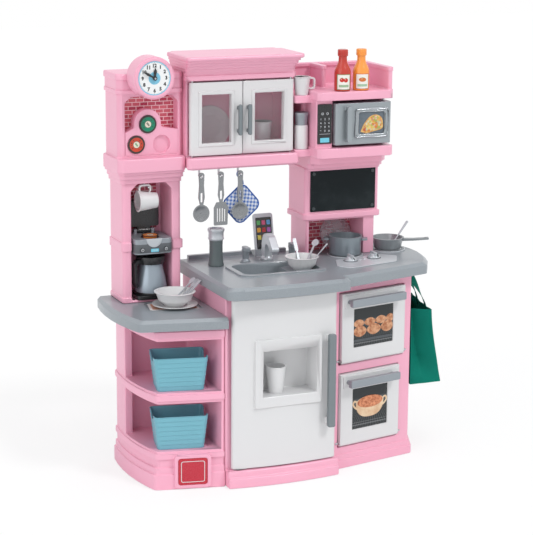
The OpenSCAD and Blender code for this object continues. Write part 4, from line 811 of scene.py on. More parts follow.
POD_RIM = ((0, 13), (18.5, 13), (20.5, 1.6), (25, 1.4), (25.5, 0.7), (25, 0.1), (22, -0.1), (20.5, 0.5),
           (0, 0.5))
POD_FRONT, POD_TOP = -121.7, 702.4
pods = (("green_pod", (-329, 1027), (0.0, 0.22, 0.12), (0.03, 0.03, 0.03), ["coffee_pods"]),
        ("red_pod", (-364, 970), (0.55, 0.05, 0.02), (0.02, 0.3, 0.1), []))
for name, (x, z), ring, mark, nodes in pods:
    foil = pod_print(name + "_foil", (x, z), (0, 2), ring, mark)
    cup = lathe([(r, POD_FRONT + d) for r, d in POD_RIM], (x, 0, z), 56, "y")
    add_skin(name, cup, foil, "black", *nodes)
foil = pod_print("orange_pod_foil", (-318, 100), (0, 1), (0.80, 0.24, 0.05), (0.03, 0.02, 0.02))
cup = lathe([(r, POD_TOP - d) for r, d in POD_RIM], (-318, -100, 0), 56)
add_skin("orange_pod", cup, foil, "black")
print("pods:", [pod[0] for pod in pods] + ["orange_pod"])

# %% [markdown]
# ## Coffee maker front
# The head has a dark front band that wraps its rounded corners. It is a thin strip that follows the
# head's outline, so it is worked out as the outline, moved out by some 0.6 mm, and swept upwards.

# %% Coffee maker band, display and tongue
COFFEE_X, HEAD_HALF, HEAD_Y, HEAD_CORNER, BAND_PROUD = -318, 57, -136, 14, 0.6
BAND_END, BAND_FRONT = -96, -130
DISPLAY_FRONT, TONGUE_HALF, TONGUE_Z, TONGUE_DROP = -137.3, 24, 697.4, 25.4
BUTTON_OUT, ICON_Z = 36, 666
corner = np.linspace(0, math.pi / 2, 7)
bend = HEAD_CORNER + BAND_PROUD
left_arc = np.stack((COFFEE_X - HEAD_HALF + HEAD_CORNER - bend * np.cos(corner),
                     HEAD_Y + HEAD_CORNER - bend * np.sin(corner)), axis=1)
right_arc = (left_arc * (-1, 1) + (2 * COFFEE_X, 0))[::-1]
reach = HEAD_HALF + BAND_PROUD
line = np.vstack(((COFFEE_X - reach, BAND_END), left_arc, right_arc, (COFFEE_X + reach, BAND_END)))
band_rows = ((656, 1.2), (656, 0.4), (656.6, 0), (681.4, 0), (682, 0.4), (682, 1.2))
band = np.stack([np.column_stack((line[:, 0] - np.sign(line[:, 0] - COFFEE_X) * inset,
                                  line[:, 1] + inset * (line[:, 1] < BAND_FRONT),
                                  np.full(len(line), height))) for height, inset in band_rows])
add_skin("coffee_band", band, dark_grey, "black")
display_glow = moulded("display_blue", (0.16, 0.58, 0.72), 0.25, 0.08, 0.02)
screen = plate((COFFEE_X - 10, COFFEE_X + 14, 658, 667.6), 1.5, HEAD_Y - 0.2, DISPLAY_FRONT, 0.4)
add_skin("coffee_display", screen, display_glow, "blue")
time_marks = [("12:00", 7.5, COFFEE_X + 2, 662.8)]
lettering("coffee_time", time_marks, DISPLAY_FRONT - 0.1, pale_ink, "white")
half = np.linspace(0, math.pi, 33)
lip = np.stack((COFFEE_X + TONGUE_HALF * np.cos(half), TONGUE_Z - TONGUE_DROP * np.sin(half)), axis=1)
add_skin("coffee_tongue", plaque(closed(lip), HEAD_Y + 0.8, HEAD_Y - 2.4, 1.4, 0.4), pale_silver, "silver")
for side, body in ((-1, "left_coffee_button"), (1, "right_coffee_button")):
    x = COFFEE_X + side * BUTTON_OUT
    front = box_mm(body)[0][1]
    back, proud = front + 0.3, front - 0.25
    icon = [disc((x, ICON_Z), 4.6, back, proud, 32, 3.4),
            plate((x - 0.6, x + 0.6, ICON_Z - 0.6, ICON_Z + 3.2), 0.5, back, proud, 0.05)]
    add_skin(body + "_icon", icon, pale_ink, "white", body=body)
print("coffee band height", band_rows[-1][0] - band_rows[0][0], "mm")

# %% [markdown]
# ## Pepper mill and salt shaker
# Both are turned shapes. One profile each, of radius against height, goes round the upright axis. The
# caps are pieces of their own because they have another colour and a step where they meet the body.

# %% Shakers
MILL, SALT = (-120, -118, 598), (140, -138, 934)
mill_grey = moulded("mill_grey", (0.10, 0.125, 0.13), 0.5)
shakers = (
    ("mill_body", MILL, 56, mill_grey, ["shakers"], (
        (0, 0.3), (21.5, 0.3), (23, 1.5), (23, 6), (21.4, 12), (19.6, 40), (19.4, 60), (20, 77),
        (20, 78), (0, 78))),
    ("mill_cap", MILL, 56, pale_silver, [], (
        (0, 77.5), (20.4, 77.5), (23.6, 81), (23.8, 83), (22.6, 86), (22.4, 98), (23, 101), (25, 106),
        (25, 109.5), (24, 112), (19, 112), (17, 108), (0, 107))),
    ("salt_body", SALT, 48, white, [], (
        (0, 0.3), (18.6, 0.3), (20, 1.6), (20, 68), (19, 71), (0, 71))),
    ("salt_cap", SALT, 48, silver, [], (
        (0, 70.5), (17.4, 70.5), (17.4, 75), (19.6, 96), (21, 103), (21, 106), (19.6, 108), (15, 107),
        (0, 105))))
for name, foot, turns, finish, nodes, profile in shakers:
    add_skin(name, lathe(profile, foot, turns), finish, "silver", *nodes)
print("shakers: mill at", MILL[:2], "and salt at", SALT[:2])

# %% [markdown]
# ## Sauce bottles
# A squeeze bottle has a long body, a soft shoulder and a ribbed cap on a slim neck. The label is a
# patch of the same turned surface, a hair larger, with its own UV map, and its picture is made of
# discs and bands in that map: a generic tomato pair on one bottle, and a bun on the other.

# %% Bottles and labels
BOTTLE = ((0, 0.4), (21, 0.4), (23.4, 2), (24, 5), (24, 54), (23, 62), (20, 69), (14.5, 80), (12.6, 87),
          (12.2, 98), (12.4, 101), (15, 102), (15.2, 105), (15, 114), (15.4, 117), (14.6, 120.4),
          (12, 121), (0, 120))
RIB, RIB_HEIGHTS = ((15.0, 0), (15.7, 0.5), (15.7, 1.3), (15.0, 1.8)), (104, 107.5, 111)
SHELF_Y, SHELF_Z = -186, 1106
LABEL_RADIUS, LABEL_FOOT, LABEL_TOP, LABEL_TOWARD, LABEL_SPREAD = 24.35, 1111, 1156, -14, 52


def label_patch(name, x, finish):
    """Part of a cylinder: the angle runs LABEL_SPREAD degrees either way of its heading, and both
    directions are spread over the UV map."""
    across, up_ = np.meshgrid(np.linspace(0, 1, 33), np.linspace(0, 1, 13))
    a = np.radians(LABEL_TOWARD + LABEL_SPREAD * (2 * across - 1))
    patch = np.stack((x + LABEL_RADIUS * np.sin(a), SHELF_Y - LABEL_RADIUS * np.cos(a),
                      LABEL_FOOT + (LABEL_TOP - LABEL_FOOT) * up_), axis=-1)
    mesh = bpy.data.meshes.new(name)
    mesh.from_pydata(straight(patch.reshape(-1, 3)).tolist(), [], grid_faces(13, 33).tolist())
    add_map(mesh, np.stack((across, up_), axis=-1).reshape(-1, 2))
    mesh.shade_smooth()
    thickness = add_piece(name, mesh, finish, "kitchen", "white").modifiers.new("thickness", "SOLIDIFY")
    thickness.thickness, thickness.offset = 0.0004, -1


def label_print(name, fruit, leaf, rim, places, widen):
    """Label from its UV map: pale ground, coloured border, round fruit with leaves, and a lower band."""
    finish = Finish(name)
    u, v = finish.across_map()
    edge = (u - 0.5).absolute().step(0.44, 0.46).most((v - 0.5).absolute().step(0.455, 0.47))
    colour = finish.mix(edge, (0.83, 0.80, 0.74), rim)
    for at_u, at_v in places:
        du, dv = (u - at_u) * widen, (v - at_v) * 1.15
        colour = finish.mix((du * du + dv * dv).root().step(0.165, 0.150), colour, fruit)
        gu, gv = u - at_u + 0.05, v - at_v - 0.05
        glint = (gu * gu + gv * gv).root().step(0.035, 0.02)
        colour = finish.mix(glint * 0.7, colour, (0.95, 0.8, 0.75))
        top = ((u - at_u).absolute() * 1.2 + (v - at_v - 0.13).absolute() * 3).step(0.09, 0.06)
        colour = finish.mix(top, colour, leaf)
    band = (v - 0.25).absolute().step(0.085, 0.075) * (u - 0.5).absolute().step(0.36, 0.34)
    stripes = (u * 92).sine().absolute().step(0.2, 0.5)
    fibre = finish.noise(900)
    finish.set(base_color=finish.mix(band * stripes * 0.85, colour, leaf), roughness=0.38 + fibre * 0.1)
    finish.bump(fibre, 0.05, 0.0003)
    return finish


bottles = (
    ("tomato_bottle", 249, moulded("tomato_red_plastic", (0.50, 0.035, 0.02), 0.3, 0.04, 0.04, coat=0.25),
     label_print("tomato_label", (0.55, 0.02, 0.01), (0.05, 0.25, 0.04), (0.10, 0.28, 0.10),
                 ((0.36, 0.64), (0.63, 0.62)), 1.0), ["sauce_bottles"]),
    ("mustard_bottle", 309, moulded("mustard_plastic", (0.90, 0.32, 0.05), 0.3, 0.04, 0.04, coat=0.25),
     label_print("bun_label", (0.60, 0.16, 0.03), (0.10, 0.36, 0.16), (0.5, 0.06, 0.02),
                 ((0.5, 0.62),), 0.62), []))
for name, x, plastic, label, nodes in bottles:
    add_skin(name, lathe(BOTTLE, (x, SHELF_Y, SHELF_Z), 56), plastic, "red", *nodes)
    label_patch(name + "_label", x, label)
    ribs = [lathe(RIB, (x, SHELF_Y, SHELF_Z + h), 40) for h in RIB_HEIGHTS]
    add_skin(name + "_ribs", ribs, plastic, "red")
print("bottles:", len(bottles))

# %% [markdown]
# ## Storage baskets
# Each basket has seven lapped bands, a rolled rim, and a scoop in both short sides to grip it by. Its
# wall is a blend between a lower and an upper outline. Every band leans out at its foot, which is a
# saw-tooth added along the outline's own normal, and the scoop simply holds the height below an arc.

# %% Baskets
BASKET_X, BASKET_Y, BASKET_H = (-200, -44), (10, 128), 98
TAPER_X, TAPER_Y, CORNER, BANDS = 11, 7.7, 12, 7
SCOOP_RADIUS, SCOOP_DEPTH, SCOOP_HALF = 37.8, 18, 33
RIM_ROWS = ((2.0, 0.0), (1.6, 0.6), (0.4, 0.6), (0.0, -0.2), (0.0, -1.6), (0.6, -2.2))
WALL, FLOOR = 2.5, 2.5
lower_ring = rounded_ring(BASKET_X[0] + TAPER_X, BASKET_X[1] - TAPER_X, BASKET_Y[0] + TAPER_Y,
                          BASKET_Y[1] - TAPER_Y, CORNER, 8)
upper_ring = rounded_ring(*BASKET_X, *BASKET_Y, CORNER, 8)
along = lengths_along(upper_ring)
even = np.unique(np.concatenate((np.linspace(0, along[-1], 208), along)))
low_ring, high_ring = points_at(lower_ring, even, along), points_at(upper_ring, even, along)
outward = np.gradient(high_ring, axis=0)[:, ::-1] * (1, -1)
outward[0] = outward[-1] = (1, 0)
outward /= np.linalg.norm(outward, axis=1, keepdims=True)
scoop_y = high_ring[:, 1] - sum(BASKET_Y) / 2
arc = np.sqrt(np.maximum(SCOOP_RADIUS ** 2 - scoop_y ** 2, SCOOP_DEPTH ** 2))
on_short_side = (np.abs(outward[:, 0]) > 0.7) & (np.abs(scoop_y) < SCOOP_HALF)
rim_height = np.where(on_short_side, np.minimum(BASKET_H + SCOOP_DEPTH - arc, BASKET_H), BASKET_H)


def basket_row(height, offset):
    """One row: the height, held under the rim, picks the place between the two outlines."""
    z = np.minimum(height, rim_height)
    flat = low_ring + (high_ring - low_ring) * (z / BASKET_H)[:, None] + outward * offset
    return np.column_stack((flat, z))


def shrunk(ring, middle, share, z):
    """The ring drawn in towards its middle to a share of its size, and laid at z."""
    return np.column_stack((middle + (ring - middle) * share, np.full(len(ring), z)))


def basket(node):
    """Floor, seven bands that lean out at the foot, rolled rim, plain inner wall, inner floor."""
    middle = low_ring[:-1].mean(0)
    rows = [shrunk(low_ring, middle, s, 0.0) for s in (0, 0.5, 0.97)]
    rows += [basket_row(BASKET_H / BANDS * (band + t), 0.9 - 1.5 * t)
             for band in range(BANDS) for t in (0.02, 0.12, 0.5, 0.88, 0.97)]
    rows += [basket_row(BASKET_H - below, offset) for below, offset in RIM_ROWS]
    rows += [basket_row(h, -WALL) for h in (90, 75, 60, 45, 30, 15, 4)]
    rows += [shrunk(low_ring - outward * 4, middle, s, FLOOR) for s in (1, 0.5, 0)]
    grid = np.array(rows) + (0, 0, box_mm(node)[0][2])
    return add_skin(node + "_bands", grid, blue, "blue", node, body=body_of_node[node],
                    frame_of=left_wing, angle=28)


baskets = [basket(node) for node in ("upper_basket", "lower_basket")]
print("basket faces:", len(baskets[0].data.polygons))

# %% [markdown]
# ## Cloth finishes
# The pot holder has a gingham check, and the shopping bag is a pressed non-woven cloth. In a gingham,
# blue yarns cross white ones both ways, so the colour is simply how many of the two directions are
# blue at a place. Fine sines raise the single yarns. The felt of the place mat is made further down.

# %% Check and pressed cloth
def gingham(name, centre, turn_deg, period, colour):
    """u and v are x and z in mm, turned about the centre. Each is blue for half a period, and the mean
    of the two is the tint."""
    finish = Finish(name)
    x, _, z = finish.split(finish.place())
    c, s = math.cos(math.radians(turn_deg)), math.sin(math.radians(turn_deg))
    u = ((x - centre[0]) * c - (z - centre[1]) * s) * MM
    v = ((x - centre[0]) * s + (z - centre[1]) * c) * MM
    stripes = [(w / period).fraction().step(0.46, 0.54) for w in (u, v)]
    yarn = (u * 7.5).sine() * (v * 7.5).sine()
    fluff = finish.noise(700, 3, 0.6)
    woven = finish.mix((stripes[0] + stripes[1]) * 0.5, (0.80, 0.83, 0.88), colour)
    finish.set(base_color=finish.mix(fluff * 0.25, woven, tint(colour, 0.6)),
               roughness=0.82 + fluff * 0.1, sheen_weight=0.3)
    finish.bump(yarn * 0.5 + fluff * 0.5, 0.35, 0.0006)
    return finish


def pressed_cloth(name, colour):
    """Non-woven cloth: small pressed diamonds in rows, and a slow drift in the dye."""
    finish = Finish(name)
    cells = finish.node("ShaderNodeTexVoronoi", {"feature": "DISTANCE_TO_EDGE"},
                        {"Vector": finish.place(), "Scale": 520, "Randomness": 0.25})
    pits = cells.step(0.02, 0.28)
    drift = finish.noise(22, 3, 0.55)
    ground = finish.mix(drift, tint(colour, 0.82), tint(colour, 1.12))
    finish.set(base_color=finish.mix((1 - pits) * 0.35, ground, tint(colour, 0.55)),
               roughness=0.66 + pits * 0.12, specular_ior_level=0.12)
    finish.bump(pits + drift * 0.4, 0.3, 0.0006)
    return finish


check = gingham("blue_gingham", (-0.060, 0.787), 8, 10.6, (0.06, 0.16, 0.50))
bag_cloth = pressed_cloth("green_bag_cloth", (0.002, 0.20, 0.145))
bag_trim = pressed_cloth("green_bag_trim", (0.002, 0.15, 0.105))
# The seams' paler green is a painted highlight along the bag's edges.
seam_highlight_green = pressed_cloth("green_bag_seam", (0.006, 0.27, 0.19))
piping = pressed_cloth("blue_piping", (0.05, 0.13, 0.42))
print("cloths:", check.material.name, bag_cloth.material.name)

# %% [markdown]
# ## The pot holder
# It is two squares of cotton with wadding between them, sewn through in a lattice and bound round
# the edge. The wadding is what makes it look soft, so its bulge comes from Blender's Cloth, with a
# little pressure inside a thin pillow. The seams of the lattice are pressed in afterwards, because
# the remesh that the cloth needs would wipe them out.

# %% Pillow
HOLDER = np.array((-60.0, -164.5, 787.0))
HALF, HALF_THICK = 44.5, 2.0
turn_c, turn_s = math.cos(math.radians(49)), math.sin(math.radians(49))


def holder_place(points):
    """Square (u, thickness, v) turned by 49 degrees about y: x = u c + v s, z = -u s + v c."""
    u, thick, v = np.moveaxis(np.asarray(points, float), -1, 0)
    return np.stack((u * turn_c + v * turn_s, thick, -u * turn_s + v * turn_c), axis=-1) + HOLDER


side_line = np.linspace(-1, 1, 41)
gu, gv = np.meshgrid(side_line, side_line, indexing="ij")
round_off = np.sqrt(np.clip(1 - np.abs(gu) ** 10, 0, 1)) * np.sqrt(np.clip(1 - np.abs(gv) ** 10, 0, 1))
pull = HALF * (1 - 0.12 * np.abs(gu * gv) ** 3.5)
front = np.stack((gu * pull, -HALF_THICK * round_off, gv * pull), axis=-1)
pillow = skin("pot_holder_quilt", [holder_place(front), holder_place(front * (1, -1, 1))], merge=0.05)
quilt = add_piece("pot_holder_quilt", pillow, check, "kitchen", "check_cloth", "pot_holder")
print("pillow corners:", np.round(holder_place(front[::40, ::40]), 1).tolist())


# %% Cloth simulation
def as_built(piece):
    """A new mesh of the piece with its modifiers applied."""
    return bpy.data.meshes.new_from_object(piece.evaluated_get(bpy.context.evaluated_depsgraph_get()))


def simulate(piece, voxel, pressure, steps, cap):
    """Voxel remesh, then Cloth with pressure and no gravity; no point moves further than cap in mm."""
    shape = piece.modifiers.new("even", "REMESH")
    shape.mode, shape.voxel_size, shape.use_smooth_shade = "VOXEL", voxel / MM, True
    start_mesh = as_built(piece)
    piece.modifiers.remove(shape)
    start_mesh.materials.clear()
    start_mesh.materials.append(piece.data.materials[0])
    piece.data = start_mesh
    before = read(start_mesh.vertices, "co")
    cloth = piece.modifiers.new("cloth", "CLOTH")
    cloth.settings.use_pressure, cloth.settings.uniform_pressure_force = True, pressure
    cloth.settings.effector_weights.gravity = 0
    cloth.settings.quality = 4
    cloth.point_cache.frame_start, cloth.point_cache.frame_end = 1, steps
    for step in range(1, steps + 1):
        bpy.context.scene.frame_set(step)
    done = as_built(piece)
    piece.modifiers.remove(cloth)
    bpy.context.scene.frame_set(1)
    move = read(done.vertices, "co") - before
    length = np.linalg.norm(move, axis=1, keepdims=True)
    move *= np.minimum(1, (cap / MM) / np.maximum(length, 1e-9))
    done.vertices.foreach_set("co", (before + move).ravel())
    done.shade_smooth()
    piece.data = done
    return float(length.max() * MM)


moved = simulate(quilt, voxel=1.6, pressure=3.0, steps=14, cap=1.4)
print("cloth moved at most", round(moved, 2), "mm before the cap")


# %% Lattice, binding and loop
SEAM_PITCH, SEAM_DEPTH, SEAM_WIDTH = 22.0, 0.5, 1.7
BINDING_RADIUS, LOOP_RADIUS, LOOP_Y = 2.1, 1.7, HOLDER[1]
LOOP_XZ = ((-56.5, 845), (-64, 858), (-73, 872), (-72.4, 880), (-68, 882.4), (-63.6, 880), (-62.6, 872),
           (-56, 858), (-53.5, 845))


def press_seams(piece):
    """Pushes points towards the middle plane where u or v of the square is near a seam."""
    mesh = piece.data
    p = straight.back(read(mesh.vertices, "co")) - HOLDER
    near = np.zeros(len(p))
    for across in (p[:, 0] * turn_c - p[:, 2] * turn_s, p[:, 0] * turn_s + p[:, 2] * turn_c):
        gap = np.abs((across / SEAM_PITCH + 0.5) % 1 - 0.5) * SEAM_PITCH
        near = np.maximum(near, np.exp(-(gap / SEAM_WIDTH) ** 2))
    p[:, 1] *= 1 - near * SEAM_DEPTH
    mesh.vertices.foreach_set("co", straight(p + HOLDER).ravel())
    mesh.update()


press_seams(quilt)
outline = holder_place(upright(rounded_ring(-HALF, HALF, -HALF, HALF, 20, 8), 0))
binding = hoop(loop_through(outline, 120), BINDING_RADIUS)
loop_path = curve_through([(x, LOOP_Y, z) for x, z in LOOP_XZ], 60)
hanger = tube(loop_path, LOOP_RADIUS, 10, (0, 1, 0))
add_skin("pot_holder_binding", [binding, hanger], piping, "check_cloth")
print("pot holder faces:", len(quilt.data.polygons))

# %% [markdown]
# ## Place mat
# A thin felt mat lies in its shallow pocket under the plate. It is flat, so it is rings of its own
# outline that draw in at the edge, and its UV map is simply its place in the turned frame.

# %% Felt mat
def felt(name):
    """Rust-coloured felt: matted fibres in two tones, and a pale printed border."""
    finish = Finish(name)
    u, v = finish.across_map()
    fibre = finish.noise(1400, 5, 0.75)
    tuft = finish.noise(120, 3, 0.6)
    ribs = (u * 900).sine() * (v * 500).sine()
    ground = finish.mix(tuft, (0.36, 0.11, 0.045), (0.52, 0.19, 0.08))
    edge = (u - 0.5).absolute().step(0.445, 0.452).most((v - 0.5).absolute().step(0.415, 0.425))
    colour = finish.mix(edge, ground, (0.55, 0.56, 0.58))
    finish.set(base_color=finish.mix(fibre * 0.3, colour, (0.75, 0.5, 0.36)),
               roughness=0.85 + fibre * 0.1, sheen_weight=0.25)
    finish.bump(fibre + ribs * 0.2, 0.4)
    return finish


MAT_LOW, MAT_SIZE = np.array((-198, 96)), np.array((144, 80))
MAT_ROWS = ((0, 0.05), (0.5, 0.05), (1, 0.05), (1, 0.9), (0.993, 1.25), (0.985, 1.4), (0.66, 1.4),
            (0.33, 1.4), (0, 1.4))
corners = np.array(((-198, 96), (-54, 96), (-68, 176), (-198, 176)), float)
edges = np.concatenate([start + (end - start) * np.linspace(0.04, 0.96, 15)[:, None]
                        for start, end in zip(corners, np.roll(corners, -1, axis=0))])
mat_ring = loop_through(closed(edges), 140)
mat_foot = box_mm("placemat")[0][2]
mat_grid = np.array([shrunk(mat_ring, corners.mean(0), s, mat_foot + h) for s, h in MAT_ROWS])
mat_mesh = skin("felt_mat", mat_grid, left_wing)
mat_place = left_wing.back(read(mat_mesh.vertices, "co"))[:, :2]
add_map(mat_mesh, (mat_place - MAT_LOW) / MAT_SIZE)
mat = add_piece("felt_mat", mat_mesh, felt("rust_felt"), "kitchen", "felt", "placemat")
print("mat:", len(mat_mesh.polygons), "faces")

# %% [markdown]
# ## Shopping bag
# The bag is sewn from two large panels, two narrow ones and a floor, and hangs by its straps. A full
# bag would be a box. An empty one sags: the narrow sides fold inwards down their middle, the panels
# belly out low down, and shallow creases run from the corners. All of that is one formula on the
# distance round the bag and the height.

# %% Bag shell
BAG_L, BAG_Z, BAG_TOP, BAG_FOOT = 220.0, (208.0, 440.0), 60.0, 96.0
BAG_H, FOLD_DEPTH, BELLY, HEM_FROM, HEM = 236, 31, 3, 0.925, 0.8
t = np.linspace(0, 1, 49)[:, None]
bag_ring = rounded_ring(0, 1, 0, 1, 0.03, 4)
ring_len = lengths_along(bag_ring * (80, BAG_L))
ux, uy = points_at(bag_ring, np.linspace(0, ring_len[-1], 201), ring_len).T[:, None, :]
fold_line = 0.10 + 0.42 * (1 - t) ** 1.6
inward = np.clip(np.where(ux < fold_line, ux / fold_line, (1 - ux) / (1 - fold_line)), 0, 1)
at_end = np.exp(-(np.minimum(uy, 1 - uy) * BAG_L / 6) ** 2)
deep = FOLD_DEPTH * np.clip(t / 0.34, 0, 1) ** 1.2 * (1 - 0.25 * t)
outer_side = np.exp(-((ux - 1) / 0.12) ** 2)
hem = np.where(t > HEM_FROM, HEM, 0.0)
x = (ux * (BAG_FOOT + (BAG_TOP - BAG_FOOT) * t ** 0.85)
     - BELLY * outer_side * np.sin(math.pi * np.clip(t * 1.1, 0, 1)) * np.sin(math.pi * uy)
     + 1.2 * np.sin(uy * 19 + t * 7) * outer_side * (0.3 + t) + hem * (ux > 0.97))
y = (uy * BAG_L + np.where(uy < 0.5, 1, -1) * at_end * inward ** 1.15 * deep
     + 0.9 * np.sin(ux * 9 + t * 16) * at_end * (1 - t) * inward
     + hem * 0.6 * ((uy > 0.97).astype(float) - (uy < 0.03)))
z = (BAG_Z[0] + (BAG_Z[1] - BAG_Z[0]) * t + 6 * ux * (1 - t)
     - 3.0 * np.sin(math.pi * uy) ** 2 * t ** 4)
wall_grid = np.stack((x, y, z), axis=-1)
foot, foot_middle = wall_grid[0], np.array((BAG_FOOT / 2, BAG_L / 2, BAG_Z[0] + 2.5))
floor_rows = np.array([foot_middle + (foot - foot_middle) * s + (0, 0, 0.8 * (1 - s))
                       for s in (0, 0.3, 0.6, 0.85)])
bag_mesh = skin("green_bag", np.concatenate((floor_rows, wall_grid)), bag_frame, merge=0.05, angle=60)
bag = add_piece("green_bag", bag_mesh, bag_cloth, "kitchen", "green_cloth", "tote_bag")
cloth_wall = bag.modifiers.new("thickness", "SOLIDIFY")
cloth_wall.thickness, cloth_wall.offset = 0.0014, -1

# %% [markdown]
# ## Straps and seams of the bag
# The straps are flat webbing, sewn to the two large panels, and both lie on the hook. A flat band has
# to know which way its width points all along its path, which a round tube needn't. The seams are thin
# rolls of cloth along the corners and the foot of the bag's own grid. Their green is paler than the
# cloth's, which paints on the highlight that these edges catch.

# %% Straps and seams
def strap(path, start_across, top_across, width, thick):
    """Flat band: across the path it is width wide, and that direction turns smoothly from the one at
    the feet to the one at the middle, where it lies on the hook."""
    share = np.sin(math.pi * np.linspace(0, 1, len(path)))[:, None] ** 2.5
    across = np.array(start_across) * (1 - share) + np.array(top_across) * share
    way = np.gradient(path, axis=0)
    way /= np.linalg.norm(way, axis=1, keepdims=True)
    across = across - way * np.sum(across * way, axis=1, keepdims=True)
    across /= np.linalg.norm(across, axis=1, keepdims=True)
    face = np.cross(way, across)
    w, h = width / 2, thick / 2
    rings = np.stack([path + across * a + face * b
                      for a, b in ((-w, -h), (w, -h), (w, h), (-w, h), (-w, -h))], axis=1)
    ends = path[[0, -1], None].repeat(5, axis=1)
    return np.concatenate((ends[:1], rings, ends[1:]))


NEAR_STRAP = ((-0.9, 59, 424), (-0.6, 66, 446), (2, 82, 488), (8, 98, 526), (12, 104.6, 539.5),
              (12, 110, 544.6))
FAR_STRAP = ((60.2, 59, 424), (58, 66, 446), (40, 82, 488), (21, 97.5, 526), (14, 103.0, 539.5),
             (14, 110, 546.8))
STRAP_WIDTH, STRAP_THICK, SEAM_RADIUS, FOOT_SEAM_RADIUS = 20, 1.5, 1.0, 1.1
bands = []
for half_path in (np.array(NEAR_STRAP), np.array(FAR_STRAP)):
    other = (half_path * (1, -1, 1) + (0, BAG_L, 0))[::-1][1:]
    path = curve_through(np.vstack((half_path, other)), 70)
    bands.append(strap(path, (0, 1, 0), (1, 0, 0), STRAP_WIDTH, STRAP_THICK))
straps = add_skin("bag_straps", bands, bag_trim, "green_cloth", frame_of=bag_frame)
corner_columns = [int(np.argmin(np.abs(ux[0] - cx) + np.abs(uy[0] - cy)))
                  for cx, cy in ((0, 0), (1, 0), (1, 1), (0, 1))]
# These seams carry the paler green, a painted highlight along the corners and the foot.
seams = [tube(curve_through(wall_grid[::6, k], 60) + (0, 0, 0.4), SEAM_RADIUS, 8, (1, 0.2, 0))
         for k in corner_columns]
foot_line = curve_through(closed(foot[:-1:2]), 240)
foot_seam = tube(np.vstack((foot_line, foot_line[1:2])), FOOT_SEAM_RADIUS, 8, ends=False)[:-1]
trim_line = add_skin("bag_seams", [*seams, foot_seam], seam_highlight_green, "green_cloth", frame_of=bag_frame)
print("strap and seam faces:", len(straps.data.polygons) + len(trim_line.data.polygons))

# %% [markdown]
# ## Pots, board and worktop fittings
# The pans are cast in a darker grey that looks like aluminium. The chalk board is a film on a plate:
# nearly black, with the grey haze that a wiped board keeps. The coffee maker is one solid, so its foot
# and its back column get their own finish by choosing faces by their height and depth.

# %% Pans and chalk film
soften("pot", flaked("cast_grey_plastic", (0.26, 0.30, 0.33)))
soften("frying_pan", flaked("spun_grey_plastic", (0.28, 0.30, 0.315)))
chalk = Finish("chalk_film")
haze = chalk.noise(7, 4, 0.65)
wipes = chalk.noise(1, 3, 0.6, chalk.scaled(chalk.place(), (18, 1, 60)))
dust = chalk.noise(900, 3, 0.7)
cloud = haze.step(0.45, 0.75) * 0.5 + wipes.step(0.55, 0.8) * 0.2
chalk.set(base_color=chalk.mix(cloud * 0.35, (0.006, 0.011, 0.013), (0.07, 0.085, 0.09)),
          roughness=0.5 + dust * 0.2, specular_ior_level=0.2)
chalk.bump(dust, 0.12, 0.0004)
board = soften("chalkboard", chalk, 1)
print("board faces:", len(board.data.polygons))

# %% Coffee maker and carafe
MAKER_FOOT_TOP, MAKER_HEAD_FOOT, MAKER_COLUMN_Y = 527.5, 652, -60
CARAFE = (-312, -85, 526)


def recolour(piece, finish, choose):
    """Faces whose centre, in mm in the straight frame, passes the test get a finish of their own."""
    centres = straight.back(read(piece.data.polygons, "center"))
    index = read(piece.data.polygons, "material_index", 1, int)[:, 0]
    index[choose(*centres.T)] = len(piece.data.materials)
    piece.data.materials.append(finish.material)
    piece.data.polygons.foreach_set("material_index", index)


maker = soften("coffee_maker", silver, 1.5)
recolour(maker, pink, lambda x, y, z: (z > MAKER_FOOT_TOP) & (z < MAKER_HEAD_FOOT) & (y > MAKER_COLUMN_Y))
recolour(maker, black, lambda x, y, z: z < MAKER_FOOT_TOP)
jug = ((0, 0.3), (42, 0.3), (45, 1.5), (46.4, 5), (47, 12), (46.6, 24), (44.6, 38), (41.4, 54), (38, 68),
       (35.4, 80), (34.4, 90), (34.4, 96), (31.4, 96), (31.4, 90), (35, 70), (43, 30), (42, 4), (0, 3.4))
add_skin("carafe_jug", lathe(jug, CARAFE, 64), carafe_blue, "silver", "carafe", angle=50)
collar = ((40, 0.1), (46.8, 0.1), (47.9, 1.5), (47.9, 7), (46.6, 8.2), (40, 8.2), (40, 0.1))
add_skin("carafe_foot", lathe(collar, CARAFE, 64), black, "black")
print("coffee maker finishes:", [m.name for m in maker.data.materials])

# %% [markdown]
# ## Flat pieces with a printed picture
# Oven windows, a badge, a phone screen and a keypad are thin plates. `plate` already gives them a soft
# edge, and a picture needs a flat map, which is the plate's own left-right and up-down place, turned
# back by the angle of the wing that carries it.

# %% Picture finishes
def window(name, sides, corner, y_back, finish, body, frame_of, steps, mapped=None):
    """Thin dark plate over its sides (x0, x1, z0, z1). Its UV map runs from 0 to 1 over them, or over
    the rectangle that mapped gives."""
    glass = skin(name, plate(sides, corner, y_back, y_back - 0.6, 0.2, steps), frame_of)
    place = frame_of.back(read(glass.vertices, "co"))[:, [0, 2]]
    low, high = np.array(mapped or sides, float).reshape(2, 2).T
    add_map(glass, (place - low) / (high - low))
    return add_piece(name, glass, finish, body, "black")


def oven_glass(name, rack_low, lines):
    """Dark glass: a paler haze above the rack, pale rack wires below it that draw together upwards."""
    finish = Finish(name)
    u, v = finish.across_map()
    width = 0.35 + (rack_low - v) / rack_low * 0.65
    across = (((u - 0.5) / width) * lines).fraction() - 0.5
    wires = across.absolute().step(0.06, 0.02) * v.step(rack_low, rack_low - 0.03)
    front = (v - 0.09).absolute().step(0.018, 0.010) + (v - 0.15).absolute().step(0.012, 0.006) * 0.7
    far = (v - rack_low).absolute().step(0.10, 0.0) * 0.45
    smear = finish.noise(60, 3, 0.6)
    glow = (wires * 0.5 + front * 0.4 + far).least(0.8)
    finish.set(base_color=finish.mix(glow, (0.013, 0.018, 0.02), (0.30, 0.31, 0.32)),
               roughness=0.14 + smear * 0.12)
    finish.bump(smear, 0.02, 0.0003)
    return finish


